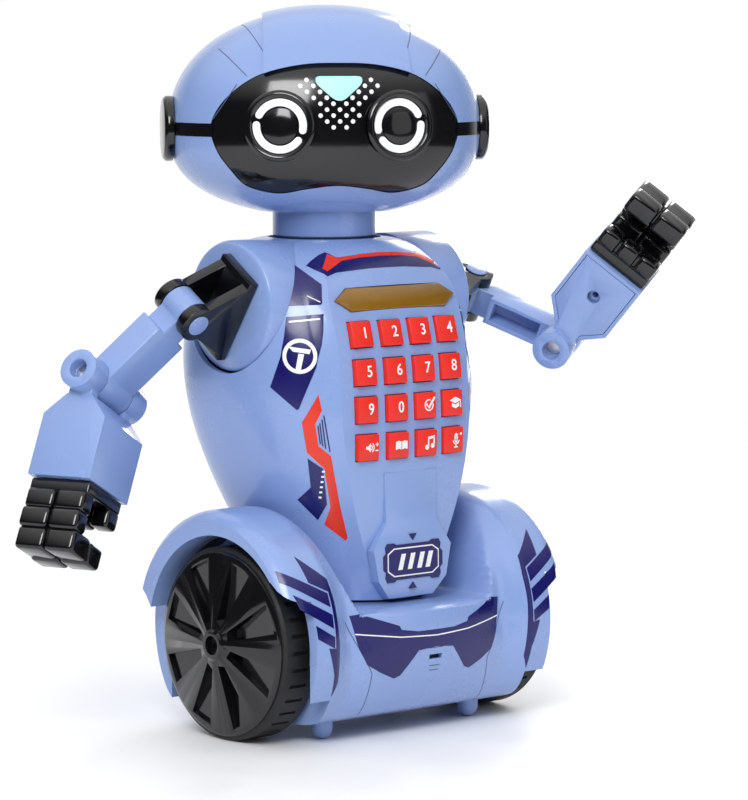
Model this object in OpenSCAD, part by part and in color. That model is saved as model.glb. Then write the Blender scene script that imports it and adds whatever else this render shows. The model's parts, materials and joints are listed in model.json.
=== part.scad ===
// Educational coding robot: two-wheeled base, keypad torso, jointed arms and a turning head.
// Front is -Y, up is +Z, the robot's left is +X. The floor is z = 0.

/* [Whole robot] */
// sideways place of the robot's middle plane
mid_x = 8.4; // [-10:0.1:10]
// front-to-back place of the robot's middle
mid_y = 1.7; // [-10:0.1:10]
// wall of the moulded housings
wall = 2.2; // [1.6:0.1:3]
// gap between pieces that only lie next to each other
part_gap = 0.3; // [0.2:0.05:0.5]
// radial clearance of every turning pin and shaft
run_gap = 0.05; // [0.03:0.01:0.09]

/* [Base and wheels] */
// width of the base over both arches
base_w = 140; // [134:1:150]
// how far the base housing reaches past the wheel rooms, seen from the side
arch_wall = 7.3; // [6:0.1:10]
// outer radius of a tyre
wheel_r = 36.5; // [34:0.5:37]
// width of a tyre
tyre_w = 16; // [12:0.5:17]
// gap all round the tyre inside its arch
arch_gap = 4.5; // [3.5:0.5:5]
// radius of a wheel axle
axle_r = 3; // [2.5:0.25:4]
// height of the housing's lower edge above the body's datum plane
base_low = 4.5; // [4:0.5:6]

/* [Torso] */
// height of the waist above the base's datum plane
waist_z = 48.2; // [48:0.1:52]
// height where the torso is widest
chest_z = 135; // [125:1:145]
// height of the collar under the neck
collar_z = 183.5; // [180:0.5:190]
// greatest width of the torso
chest_w = 105; // [90:1:108]
// greatest depth of the torso
chest_d = 94.6; // [86:1:100]
// radius of the collar
collar_r = 21.5; // [20:0.5:24]
// radius of a shoulder cup
cup_r = 25; // [22:0.5:26]
// distance of a shoulder cup's face from the middle plane
cup_x = 50.6; // [50:0.1:53]

/* [Keypad] */
// side of a square key
key_size = 9.8; // [9:0.1:10.8]
// distance between key centres
key_pitch = 14.2; // [13.5:0.1:14.6]
// how far a key stands out of the chest
key_proud = 1.7; // [1.2:0.1:2.5]
// travel of a key
key_travel = 1; // [0.6:0.1:1.2]

/* [Arms] */
// distance from shoulder pin to elbow
arm_len = 42.1; // [40:0.5:46]
// radius of the shoulder and elbow pins
pin_r = 3; // [2.5:0.25:3.5]
// length of the elbow barrel
barrel_len = 39.5; // [38:0.5:44]
// radius of the elbow barrel
barrel_r = 7.5; // [7:0.25:8]
// thickness of a forearm
fore_t = 29; // [28:0.5:30]
// width of a forearm
fore_w = 27; // [26:0.5:29]
// width of the upper arm
arm_w = 11; // [9:0.5:11]
// forward swing of the right shoulder, the robot's own right
right_swing = -34; // [-60:1:0]
// forward swing of the left shoulder
left_swing = -62.3; // [-80:0.1:-40]
// drop of both upper arms below level
arm_drop = 57.2; // [45:0.1:65]
// bend of the right elbow
right_bend = 38.5; // [20:0.5:60]
// bend of the left elbow
left_bend = -74.2; // [-85:0.1:-60]

/* [Head] */
// width of the head without its ear caps
head_w = 119.6; // [112:0.1:126]
// depth of the head
head_d = 91; // [84:1:96]
// height of the head above the ear line
head_up = 45.6; // [42:0.5:50]
// height of the head below the ear line
head_down = 34; // [32:0.5:35]
// height of the ear line above the base's datum plane
ear_z = 225.2; // [222:0.1:228]
// radius of the neck tube
neck_r = 20; // [18:0.5:21]
// way the head looks, turned from straight ahead
head_turn = -33; // [-60:1:60]

/* [Node] */
// piece to draw

/* [Hidden] */

// colours
lavender = [0.52, 0.60, 0.80];
gloss_black = [0.03, 0.03, 0.035];
rubber = [0.05, 0.05, 0.05];
key_red = [0.90, 0.14, 0.10];
amber = [0.52, 0.36, 0.08];
steel = [0.70, 0.71, 0.72];
board_green = [0.08, 0.32, 0.16];
light_white = [0.93, 0.95, 0.97];
light_blue = [0.62, 0.84, 0.92];
cell_dark = [0.20, 0.22, 0.26];

// axle and base; the datum plane lies a little above the floor
lift = 2.3;
axle_z = wheel_r - lift;
wheel_y = -1.5;
base_y = wheel_y + 3;
base_z = axle_z + 1.8;
cavity_r = wheel_r + arch_gap;
rise = axle_z - 34.2;
base_r = cavity_r + arch_wall;
side_x = base_w / 2;
tyre_in_x = side_x - 3 - tyre_w;
cavity_gap = 1.5;
cavity_x = tyre_in_x - cavity_gap;
base_steps = 48;
valley_z = base_z + 11.2;
valley_half = side_x - 39;
lobe_half = side_x - 20;
edge_round = 4;
dip = 6.2;
dip_x = side_x - 32;
dip_half = 12;
lip_x = side_x - 11;

// underside: tray, battery bay, switch and screws
tray_t = 2.5;
tray_w = 2 * (cavity_x - 7.5);
tray_d = 55;
tray_lap = 1.2;
skid_r = 4;
skid_play = 0.2;
bay_w = 56;
bay_d = 46;
bay_h = 15;
door_t = 2;
cell_r = 5.2;
cell_len = 44.5;
holder_w = 64;
holder_d = 50;
screw_x = tray_w / 2 - 6;
screw_y = 20;
screw_r = 1.2;
screw_head_r = 2.4;
switch_x = 5.5 - tray_w / 2;
switch_w = 3.4;
switch_len = 8.4;
switch_knob = 4;

// drive
tyre_t = 3;
hub_out = 3.5;
spokes = 8;
gear_w = 17;
gear_d = 30;
gear_h = 22;
motor_r = 7;

// torso
ring_n = 72;
cup_y = 14.5;
cup_z = 159;
shaft_r = 5;
panel_w = 32;
panel_bevel = 4.5;
panel_curve = 2;
window_w = 59.6;
window_h = 9.2;
window_z = 162.6;
window_lean = 24;
window_t = 2.4;
neck_y = 18.2;
neck_post_r = 15;
neck_flange = 2;
neck_grip = 14;

// keypad: height of each row, top row first, and the lean of its keys
row_z = [149.4, 135.3, 121.3, 107.2];
row_lean = [15, 7, 2, -2];
key_depth = 4.2;
key_gap = 0.35;
flange = 0.9;
board_back = 8.9;
board_t = 1.6;
board_w = 3 * key_pitch + key_size + 5.6;

// arm
pin_x = 71.9;
prong_t = 4;
prong_gap = 0.3;
prong_in = arm_w / 2 + prong_gap;
prong_out = prong_in + prong_t;
bracket_len = 20.9;
bracket_h = 35.7;
box_h = 18.8;
knuckle_half = box_h / 2;
fore_start = 8.2;
fore_wide_at = 16.5;
fore_end = 40.7;
fore_tip_w = 11.1;
seam = 2;
wrist_r = 4;
hand_len = 28.5;
hand_w = 26;
heel_t = 5;
heel_h = 24;
finger_w = 12.4;
finger_pitch = 13;
finger_z = 5.5;
tip_z = -8.5;
thumb_w = 8;
thumb_pitch = 8.9;
thumb_z = -12.8;
screw_post_x = 27;

// head
eye_x = 22.3;
eye_z = 2;
eye_r = 13.4;
ear_r = 12.5;
mask_top = 25.3;
mask_side = 47;
ear_seat = 1.2;
ear_out = 3;

// ---- shared geometry ----

function signed_pow(v, p) = sign(v) * pow(abs(v), p);

// one rounded-square ring: half width a, half depth b, centre depth yc, squareness n, height z
function ring(a, b, yc, n, z, from, to, steps) = [
    for (i = [0 : steps - 1])
        let (t = from + (to - from) * i / (steps - 1))
            [a * signed_pow(cos(t), 2 / n), yc + b * signed_pow(sin(t), 2 / n), z]
];

function flat(lists) = [for (l = lists) for (p = l) p];

// triangles of a grid of rings, open at its two sides
function grid_faces(rings, n, start, turn) = flat([
    for (j = [0 : rings - 2]) for (i = [0 : n - 2])
        let (p = start + j * n + i, q = p + 1, r = p + n, s = r + 1)
            turn ? [[p, r, s], [p, s, q]] : [[p, s, r], [p, q, s]]
]);

// closed wall between an outer and an inner stack of open rings
module wall_patch(outer, inner) {
    rings = len(outer);
    n = len(outer[0]);
    m = rings * n;
    top = (rings - 1) * n;
    rims = flat([
        for (i = [0 : n - 2]) [
            [i, i + 1, m + i + 1],
            [i, m + i + 1, m + i],
            [top + i, m + top + i + 1, top + i + 1],
            [top + i, m + top + i, m + top + i + 1]
        ]
    ]);
    sides = flat([
        for (j = [0 : rings - 2])
            let (a = j * n, b = a + n, c = a + n - 1, d = c + n) [
                [a, m + b, b],
                [a, m + a, m + b],
                [c, d, m + d],
                [c, m + d, m + c]
            ]
    ]);
    polyhedron(
        points = concat(flat(outer), flat(inner)),
        faces = concat(grid_faces(rings, n, 0, true), grid_faces(rings, n, m, false), rims, sides),
        convexity = 6
    );
}

// everything is drawn about the middle plane and the base's datum, then set in its place on the floor
module place() {
    translate([mid_x, mid_y, lift]) children();
}

// the torso, arms and head stand on the base, so they rise with its axle
module place_up() {
    translate([mid_x, mid_y, lift + rise]) children();
}

module along_x(r, from, to) {
    translate([from, 0, 0])
        rotate([0, 90, 0])
            cylinder(r = r, h = to - from, $fn = 72);
}

// ---- base ----

// top edge of the base at a distance x from the middle plane
function base_top(x) =
    let (u = min(1, max(0, (abs(x) - valley_half) / (lobe_half - valley_half))), s = u * u * (3 - 2 * u))
        valley_z - base_z + (base_r + 14 + base_z - valley_z) * s;

// radius of the base in direction t about the axle, cut softly by its top and its underside
function base_radius(t, x, r) =
    let (
        soft = 14,
        up = sin(t) > 0.02 ? base_top(x) / sin(t) : 1000,
        low = sin(t) < -0.02 ? (base_low - base_z) / sin(t) : 1000
    )
        pow(pow(r, -soft) + pow(up, -soft) + pow(low, -soft), -1 / soft);

// how far the front curves back from its middle before it comes forward again to each arch
function base_dip(x) = abs(x) < dip_x
    ? dip * pow(x / dip_x, 2)
    : dip * pow(max(0, 1 - pow((abs(x) - dip_x) / dip_half, 2)), 2);

// the dip is full at the front and has faded out where the underside begins
function front_share(t) = max(0, -cos(t)) * min(1, max(0, 1 + 1.5 * sin(t)));

function base_ring(x, r, less) = [
    for (i = [0 : base_steps - 1])
        let (t = 360 * i / base_steps, q = base_radius(t, x, r - base_dip(x) * front_share(t)) - less)
            [x, base_y + q * cos(t), base_z + q * sin(t)]
];

module base_solid(stations, radii, less) {
    n = base_steps;
    m = len(stations);
    points = flat([for (k = [0 : m - 1]) base_ring(stations[k], radii[k], less)]);
    around = flat([
        for (k = [0 : m - 2]) for (i = [0 : n - 1])
            let (a = k * n + i, b = k * n + (i + 1) % n, c = a + n, d = b + n)
                [[a, c, d], [a, d, b]]
    ]);
    first = [for (i = [0 : n - 1]) i];
    last = [for (i = [0 : n - 1]) m * n - 1 - i];
    polyhedron(points = points, faces = concat(around, [first], [last]), convexity = 6);
}

half_stations = [
    for (d = [60, 50, 42, 37, 33, 29, 25, 20, 12, 7, 2.5]) if (side_x - d > 5) side_x - d
];
base_stations = concat(
    [-side_x],
    [for (k = [len(half_stations) - 1 : -1 : 0]) -half_stations[k]],
    [0],
    half_stations,
    [side_x]
);
base_radii = [for (x = base_stations) base_r - edge_round * pow(max(0, abs(x) - side_x + 9) / 9, 3)];
room_half = cavity_x - wall;
room_stations = concat(
    [-room_half],
    [for (x = base_stations) if (abs(x) < room_half - 1) x],
    [room_half]
);
room_radii = [for (x = room_stations) base_r];

module wheel_room(s) {
    from = s > 0 ? cavity_x : -side_x - 1;
    deep = side_x + 1 - cavity_x;
    translate([0, wheel_y, axle_z]) along_x(cavity_r, from, from + deep);
    translate([from, wheel_y - cavity_r, -1]) cube([deep, 2 * cavity_r, axle_z + 1]);
}

// the outer rim of each arch stops above the axle, before and behind the wheel
module rim_cut(s) {
    from = s > 0 ? lip_x : -side_x - 1;
    far = base_r + 12;
    foot = -base_z - 1;
    translate([from, 0, base_z]) rotate([90, 0, 90]) linear_extrude(side_x + 1 - lip_x) {
        polygon([[-far, foot], [-far, 15], [-47, 16], [-40, 20], [-33, 25], [0, 25], [0, foot]]);
        polygon([[far, foot], [far, 17], [46, 17], [41, 12], [33, 0], [0, 0], [0, foot]]);
    }
}

module base_shell() color(lavender) place() difference() {
    base_solid(base_stations, base_radii, 0);
    base_solid(room_stations, room_radii, wall);
    for (s = [-1, 1]) {
        wheel_room(s);
        rim_cut(s);
    }
    // opening for the tray
    translate([-tray_w / 2 - part_gap, -tray_d / 2 - part_gap, 0])
        cube([tray_w + 2 * part_gap, tray_d + 2 * part_gap, base_low + wall + 2]);
    // opening under the waist
    translate([0, 5, valley_z - 8])
        cylinder(r = 24, h = 40, $fn = 96);
    // axle holes
    translate([0, wheel_y, axle_z]) along_x(axle_r + 0.5, -cavity_x - 1, cavity_x + 1);
    // microphone slot in the front
    translate([-3.2, -base_r - 2, base_z - 9]) cube([6.4, 12, 1.8]);
}

module at_corners(x, y) {
    for (s = [-1, 1]) for (q = [-1, 1]) translate([s * x, q * y, 0]) children();
}

module bottom_tray() color(lavender) place() difference() {
    union() {
        translate([-tray_w / 2, -tray_d / 2, base_low])
            cube([tray_w, tray_d, tray_t]);
        // rim that lies inside the housing floor
        translate([-tray_w / 2 - tray_lap, -tray_d / 2 - tray_lap, base_low + tray_t])
            cube([tray_w + 2 * tray_lap, tray_d + 2 * tray_lap, tray_t]);
        // skid feet
        at_corners(tray_w / 2 - skid_r - 1, tray_d / 2 - skid_r)
            translate([0, 0, skid_r + skid_play - lift]) union() {
                sphere(r = skid_r, $fn = 48);
                cylinder(r = skid_r, h = base_low + 1 - skid_r - skid_play + lift, $fn = 48);
            }
    }
    // battery bay
    translate([-bay_w / 2, -bay_d / 2, base_low - 5]) cube([bay_w, bay_d, bay_h]);
    // switch slot
    translate([switch_x, -switch_len / 2, base_low - 1]) cube([switch_w, switch_len, 9]);
    // screw holes
    at_corners(screw_x, screw_y) translate([0, 0, base_low - 1]) {
        cylinder(r = screw_head_r + 0.2, h = 2.8, $fn = 32);
        cylinder(r = screw_r + run_gap, h = 9, $fn = 32);
    }
}

module battery_door() color(lavender) place() difference() {
    union() {
        translate([-bay_w / 2 + part_gap, -bay_d / 2 + part_gap, base_low])
            cube([bay_w - 2 * part_gap, bay_d - 2 * part_gap, door_t]);
        // locating tongues
        for (s = [-1, 1]) translate([s * 18 - 4, -bay_d / 2 + 0.5, base_low + door_t])
            cube([8, 2, 2.4]);
    }
    // thumb grooves
    for (k = [-2 : 2]) translate([-8, 13 + k * 1.6, base_low - 0.4])
        cube([16, 0.8, 1]);
    // door screw hole
    translate([0, -15, base_low - 1]) cylinder(r = 1.6, h = 6, $fn = 32);
}

module battery_cells() color(cell_dark) place()
    union() {
        for (k = [-1.5 : 1.5])
            translate([-cell_len / 2, k * (2 * cell_r + 0.4), base_low + 2 * tray_t + 1.5 + cell_r])
                rotate([0, 90, 0]) cylinder(r = cell_r, h = cell_len, $fn = 48);
        // holder that stands on the tray's rim
        translate([-holder_w / 2, -holder_d / 2, base_low + 2 * tray_t])
            cube([holder_w, holder_d, 2.5]);
    }

module power_switch() color(gloss_black) place() {
    translate([switch_x + part_gap, -switch_len / 2 + part_gap, base_low - 0.8])
        cube([switch_w - 2 * part_gap, switch_knob, 5.4]);
}

module gearbox(s) {
    in = cavity_x - wall - 1;
    translate([s > 0 ? in - gear_w : -in, wheel_y - gear_d / 2, axle_z - gear_h / 2]) difference() {
        union() {
            cube([gear_w, gear_d, gear_h]);
            // motor can
            translate([gear_w / 2, gear_d, gear_h / 2])
                rotate([-90, 0, 0]) cylinder(r = motor_r, h = 8, $fn = 48);
        }
        // bearing for the axle
        translate([0, gear_d / 2, gear_h / 2]) along_x(axle_r + run_gap, -1, gear_w + 1);
    }
}

module left_gearbox() color(steel) place() gearbox(1);
module right_gearbox() color(steel) place() gearbox(-1);

// ---- wheels, drawn with the axle along +X ----

module tyre() {
    rotate([0, 90, 0]) difference() {
        rotate_extrude($fn = 96)
            polygon([
                [wheel_r - tyre_t, 0], [wheel_r - 1, 0], [wheel_r, 1],
                [wheel_r, tyre_w - 1], [wheel_r - 1, tyre_w], [wheel_r - tyre_t, tyre_w]
            ]);
        // tread grooves
        for (k = [0 : 35]) rotate([0, 0, k * 10])
            translate([wheel_r - 0.9, -0.7, tyre_w * 0.25]) cube([3, 1.4, tyre_w * 0.5]);
    }
}

module wheel_disc() {
    drum_r = wheel_r - tyre_t - 0.05;
    edge_r = wheel_r - 1.8;
    web_z = tyre_w - 3;
    rotate([0, 90, 0]) difference() {
        rotate_extrude($fn = 96)
            polygon([
                [0, -24], [axle_r, -24], [axle_r, -1], [7, -1], [7, web_z], [drum_r - 2.5, web_z],
                [drum_r - 2.5, 1], [drum_r, 1], [drum_r, tyre_w], [edge_r, tyre_w], [edge_r, tyre_w + 0.5],
                [edge_r - 1, tyre_w + 1], [6.4, tyre_w + hub_out + 1], [5, tyre_w + hub_out + 2.2],
                [3.6, tyre_w + hub_out + 2.2], [3, tyre_w + hub_out - 1], [0, tyre_w + hub_out - 1]
            ]);
        // sunk fields between the spokes
        for (k = [0 : spokes - 1]) rotate([0, 0, k * 360 / spokes + 10])
            translate([0, 0, tyre_w - 0.4])
                linear_extrude(10)
                    polygon([[8, 0.8], [edge_r - 2.5, 2], [edge_r - 5.5, 13], [8.4, 4.4]]);
    }
}

module wheel_at(s) {
    translate([s * tyre_in_x, wheel_y, axle_z]) rotate([0, 0, s > 0 ? 0 : 180]) children();
}

module left_tyre() color(rubber) place() wheel_at(1) tyre();
module right_tyre() color(rubber) place() wheel_at(-1) tyre();
module left_wheel_disc() color(gloss_black) place() wheel_at(1) wheel_disc();
module right_wheel_disc() color(gloss_black) place() wheel_at(-1) wheel_disc();

// ---- torso ----

function low_part(z) = sin(90 * min(1, max(0, (z - 46) / (chest_z - 46))));
function high_part(z) = max(0, (z - chest_z) / (collar_z - chest_z));

function torso_a(z) = z < chest_z
    ? 28 + (chest_w / 2 - 28) * pow(low_part(z), 1.15)
    : collar_r + (chest_w / 2 - collar_r) * sqrt(max(0, 1 - pow(high_part(z), 3)));
function torso_b(z) = z < chest_z
    ? 31.5 + (chest_d / 2 - 31.5) * pow(low_part(z), 0.9)
    : collar_r + (chest_d / 2 - collar_r) * sqrt(max(0, 1 - pow(high_part(z), 1.75)));
function torso_y(z) = neck_y - 15 * pow(max(0, (161 - z) / 115), 1.6);
function torso_n(z) =
    2.1 + 0.7 * max(0, sin(180 * pow(min(1, max(0, (z - 46) / (collar_z - 46))), 1.3)));

torso_levels = [
    for (k = [0 : 9]) waist_z + (chest_z - waist_z) * k / 9,
    for (k = [1 : 8]) chest_z + (collar_z - chest_z) * sin(90 * k / 8)
];

// half width of the chest panel at height z
function panel_at(z) =
    panel_w * pow(sin(90 * min(1, (z - 22) / 100)), 1.1) * (z > 160 ? 1 - pow((z - 160) / 40, 2) : 1);

function rear_ring(z, less) = ring(
    torso_a(z) - less, torso_b(z) - less, torso_y(z), torso_n(z), z, 0, 180, ring_n / 2 + 1
);

// front ring: side, bevel, gently curved panel, bevel, side
function front_ring(z, less) =
    let (
        a = torso_a(z) - less,
        b = torso_b(z) - less,
        yc = torso_y(z),
        n = torso_n(z),
        w = panel_at(z) - less / 2,
        t = acos(min(1, pow(min(1, (w + panel_bevel) / a), n / 2))),
        fade = min(1, max(0, (collar_z - 3 - z) / 12)),
        side = ring(a, b, yc, n, z, 180, 180 + t, 13)
    )
        concat(
            side,
            [
                for (i = [-6 : 6])
                    let (
                        x = w * i / 6,
                        y = yc - b + panel_curve * i * i / 36,
                        r = yc - b * pow(1 - pow(abs(x) / a, n), 1 / n)
                    )
                        [x, y * fade + r * (1 - fade), z]
            ],
            [for (i = [len(side) - 1 : -1 : 0]) [-side[i][0], side[i][1], z]]
        );

module torso_half(front) {
    if (front)
        wall_patch(
            [for (z = torso_levels) front_ring(z, 0)],
            [for (z = torso_levels) front_ring(z - (z > chest_z ? wall * high_part(z) : 0), wall)]
        );
    else
        wall_patch(
            [for (z = torso_levels) rear_ring(z, 0)],
            [for (z = torso_levels) rear_ring(z - (z > chest_z ? wall * high_part(z) : 0), wall)]
        );
}

module cup_room(s) {
    translate([0, cup_y, cup_z])
        along_x(cup_r + part_gap / 2, s > 0 ? 26 : -cup_x - 9, s > 0 ? cup_x + 9 : -26);
}

// depth of the chest surface on the middle plane
function chest_y(z) = torso_y(z) - torso_b(z);

function chest_front(x, z) = chest_y(z) + panel_curve * pow(x / panel_at(z), 2);

// puts a child at the chest surface, its own +Z pointing out of the chest
module on_chest(x, z, lean) {
    translate([x, chest_front(x, z), z]) rotate([90 - lean, 0, 0]) children();
}

module key_spot(row, col) {
    on_chest((col - 1.5) * key_pitch, row_z[row], row_lean[row]) children();
}

module window_shape(grow) {
    half = window_w / 2 + grow;
    tall = window_h / 2 + grow;
    polygon([
        [-half, 0], [-half + 6.5, tall], [half - 6.5, tall],
        [half, 0], [half - 6.5, -tall], [-half + 6.5, -tall]
    ]);
}

module badge_shape() {
    polygon([
        [-13.2, 97], [13.2, 97], [12.6, 78], [19.5, 68], [17, 56], [11, waist_z + 1],
        [-11, waist_z + 1], [-17, 56], [-19.5, 68], [-12.6, 78]
    ]);
}

module torso_front() color(lavender) place_up() difference() {
    union() {
        torso_half(true);
        // raised badge field on the belly
        intersection() {
            translate([0, -20, 0]) rotate([90, 0, 0]) linear_extrude(20) badge_shape();
            rotate([90, 0, 90]) linear_extrude(50, center = true)
                polygon([
                    [chest_y(97) + 1, 97.5], [chest_y(97) - 0.05, 97], [chest_y(84) - 0.5, 84],
                    [chest_y(68) - 2.4, 68], [chest_y(56) - 3.6, 56], [chest_y(waist_z) - 3.4, waist_z + 1],
                    [chest_y(waist_z) + 1, waist_z + 1], [chest_y(68) + 1, 68]
                ]);
        }
    }
    for (s = [-1, 1]) cup_room(s);
    for (row = [0 : 3]) for (col = [0 : 3]) key_spot(row, col)
        cube([key_size + 2 * key_gap, key_size + 2 * key_gap, 12], center = true);
    on_chest(0, window_z, window_lean)
        translate([0, 0, -6]) linear_extrude(12) window_shape(part_gap / 2);
}

module torso_rear() color(lavender) place_up() difference() {
    torso_half(false);
    for (s = [-1, 1]) cup_room(s);
    // speaker slots
    for (k = [0 : 6]) translate([-12, 40, 88 + k * 4]) cube([24, 30, 1.8]);
}

module display_window() color(amber) place_up()
    on_chest(0, window_z, window_lean)
        translate([0, 0, -window_t - 0.2]) linear_extrude(window_t) window_shape(0);

module shoulder_cup(s) {
    translate([0, cup_y, cup_z]) rotate([0, s * 90, 0])
        rotate_extrude($fn = 96)
            polygon([
                [shaft_r + run_gap, cup_x - 12], [8, cup_x - 12], [8, cup_x - 3.6],
                [cup_r - 2.4, cup_x - 3.6], [cup_r - 2.4, 26.5], [cup_r, 26.5], [cup_r, cup_x - 2.2],
                [cup_r - 0.7, cup_x - 0.7], [cup_r - 2.2, cup_x],
                [shaft_r + run_gap, cup_x]
            ]);
}

module left_cup() color(lavender) place_up() shoulder_cup(1);
module right_cup() color(lavender) place_up() shoulder_cup(-1);

module neck_post() color(lavender) place_up() translate([0, neck_y, collar_z])
    rotate_extrude($fn = 96)
        polygon([
            [10, -10], [neck_post_r, -10], [neck_post_r, neck_grip],
            [neck_post_r + neck_flange, neck_grip + 0.4], [neck_post_r + neck_flange, neck_grip + 3],
            [10, neck_grip + 3]
        ]);

module main_board() color(board_green) place_up() union() {
    for (row = [0 : 3]) key_spot(row, 1.5)
        translate([-board_w / 2, -key_pitch / 2 + 1.2, -board_back])
            cube([board_w, key_pitch - 2.4, board_t]);
    // carrier behind the four key rows
    translate([-board_w / 2, -14.5, 100]) cube([board_w, 2, 55]);
    // link from each row to the carrier
    for (row = [0 : 3])
        let (from = chest_y(row_z[row]) + board_back + 0.4)
            translate([-board_w / 2 + 2, from, row_z[row] - 1.5])
                cube([board_w - 4, -13.5 - from, 3]);
}

module housing_screws() color(steel) place() {
    // four screws in the tray
    at_corners(screw_x, screw_y) translate([0, 0, base_low + 0.2]) union() {
        cylinder(r = screw_head_r, h = 1.6, $fn = 32);
        cylinder(r = screw_r, h = 6.6, $fn = 32);
    }
}

// ---- keys ----

module key_body(row, col) {
    key_spot(row, col) union() {
        translate([-key_size / 2, -key_size / 2, -key_depth])
            cube([key_size, key_size, key_depth + key_proud]);
        // flange that keeps the key behind the chest wall
        translate([-key_size / 2 - flange, -key_size / 2 - flange, -key_depth - 0.8])
            cube([key_size + 2 * flange, key_size + 2 * flange, 0.8]);
    }
}

module key_1() color(key_red) place_up() key_body(0, 0);
module key_2() color(key_red) place_up() key_body(0, 1);
module key_3() color(key_red) place_up() key_body(0, 2);
module key_4() color(key_red) place_up() key_body(0, 3);
module key_5() color(key_red) place_up() key_body(1, 0);
module key_6() color(key_red) place_up() key_body(1, 1);
module key_7() color(key_red) place_up() key_body(1, 2);
module key_8() color(key_red) place_up() key_body(1, 3);
module key_9() color(key_red) place_up() key_body(2, 0);
module key_0() color(key_red) place_up() key_body(2, 1);
module key_check() color(key_red) place_up() key_body(2, 2);
module key_learn() color(key_red) place_up() key_body(2, 3);
module key_sound() color(key_red) place_up() key_body(3, 0);
module key_story() color(key_red) place_up() key_body(3, 1);
module key_music() color(key_red) place_up() key_body(3, 2);
module key_voice() color(key_red) place_up() key_body(3, 3);

// ---- arms, drawn pointing along +X from the shoulder pin ----

// shoulder frame of one side: s = 1 is the robot's left
module shoulder(s) {
    translate([s * pin_x, cup_y, cup_z])
        rotate([0, 0, s > 0 ? 0 : 180])
            rotate([s > 0 ? left_swing : right_swing, 0, 0]) children();
}

module raised(s) {
    shoulder(s) rotate([0, arm_drop, 0]) children();
}

module past_elbow(s) {
    raised(s) translate([arm_len, 0, 0])
        rotate([0, 0, s > 0 ? left_bend : right_bend]) children();
}

module bracket() {
    base_x = -bracket_len;
    tip = 7.2;
    difference() {
        union() {
            for (s = [-1, 1]) translate([0, s > 0 ? prong_out : -prong_in, 0])
                rotate([90, 0, 0]) linear_extrude(prong_t) union() {
                    circle(r = tip, $fn = 64);
                    polygon([
                        [base_x, -bracket_h / 2], [-2.6, -6.75], [3.6, -6.2], [3.6, 6.2],
                        [-2.6, 6.75], [base_x, bracket_h / 2]
                    ]);
                }
            translate([base_x, -prong_out, -bracket_h / 2]) cube([4, 2 * prong_out, bracket_h]);
            // shaft that turns in the shoulder cup
            along_x(shaft_r, base_x - 14.5, base_x + 1);
        }
        rotate([90, 0, 0]) cylinder(r = pin_r, h = 40, center = true, $fn = 48);
    }
}

module shoulder_pin() {
    union() {
        rotate([90, 0, 0]) cylinder(r = pin_r, h = 2 * prong_out, center = true, $fn = 48);
        for (s = [-1, 1]) translate([0, s * (prong_out + 0.3), 0])
            rotate([90, 0, 0]) cylinder(r = pin_r + 1.2, h = 0.6, center = true, $fn = 48);
    }
}

module upper_arm() {
    hollow = 11;
    difference() {
        union() {
            // eye that turns on the shoulder pin
            rotate([90, 0, 0]) cylinder(r = 7, h = arm_w, center = true, $fn = 64);
            translate([0, -arm_w / 2, -5.5]) cube([13, arm_w, 11]);
            translate([11, -arm_w / 2, -box_h / 2]) cube([arm_len - 11, arm_w, box_h]);
            // middle knuckle of the elbow
            translate([arm_len, 0, 0])
                cylinder(r = barrel_r, h = 2 * knuckle_half, center = true, $fn = 64);
        }
        rotate([90, 0, 0]) cylinder(r = pin_r + run_gap, h = 40, center = true, $fn = 48);
        translate([arm_len, 0, 0])
            cylinder(r = pin_r + run_gap, h = 60, center = true, $fn = 48);
        // weight-saving pocket
        translate([13, -arm_w / 2 + 1.6, -box_h / 2 - 1])
            cube([arm_len - 13 - barrel_r - 1.6, arm_w - 3.2, hollow]);
    }
}

module elbow_pin() {
    cylinder(r = pin_r, h = barrel_len - 9, center = true, $fn = 48);
}

module fore_outline(less) {
    half = fore_w / 2 - less;
    tip = fore_tip_w / 2 - less * 0.6;
    polygon([
        [fore_start + less, -tip], [fore_wide_at + less * 0.4, -half], [fore_end - less, -half],
        [fore_end - less, half], [fore_wide_at + less * 0.4, half], [fore_start + less, tip]
    ]);
}

// end knuckle of the elbow on side q of the forearm
module end_knuckle(q) {
    in = knuckle_half + part_gap;
    out = barrel_len / 2;
    translate([0, 0, q > 0 ? in : -out])
        cylinder(r = barrel_r, h = out - in, $fn = 64);
    translate([0, -fore_tip_w / 2 + 0.6, q > 0 ? in : -fore_t / 2])
        cube([fore_start + 2.6, fore_tip_w - 1.2, fore_t / 2 - in]);
}

module elbow_bore() {
    cylinder(r = pin_r, h = 60, center = true, $fn = 48);
    for (q = [-1, 1]) translate([0, 0, q * (barrel_len / 2 - 2)])
        cylinder(r = pin_r + 0.6, h = 4.8, center = true, $fn = 48);
}

module forearm() {
    difference() {
        union() {
            difference() {
                translate([0, 0, -fore_t / 2]) linear_extrude(fore_t) fore_outline(0);
                // hollow inside, closed by the cover
                translate([0, 0, -fore_t / 2 - 1]) linear_extrude(fore_t - 2) fore_outline(2);
                // place of the cover
                translate([0, 0, -fore_t / 2 - 1]) linear_extrude(3.2) fore_outline(seam - 0.6);
                // room where the cover's knuckle web enters
                translate([-9, -fore_tip_w / 2 + 0.3, -fore_t / 2 - 1])
                    cube([fore_start + 12, fore_tip_w - 0.6, fore_t / 2 + 1 - knuckle_half - part_gap + 0.2]);
                // wrist hole
                along_x(wrist_r + run_gap, fore_end - 4, fore_end + 1);
            }
            end_knuckle(1);
            // screw post
            translate([screw_post_x, 0, -fore_t / 2 + 3]) cylinder(r = 3.2, h = fore_t - 4.5, $fn = 48);
        }
        elbow_bore();
        translate([screw_post_x, 0, -fore_t / 2]) cylinder(r = 1.2, h = 18, $fn = 32);
    }
}

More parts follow.
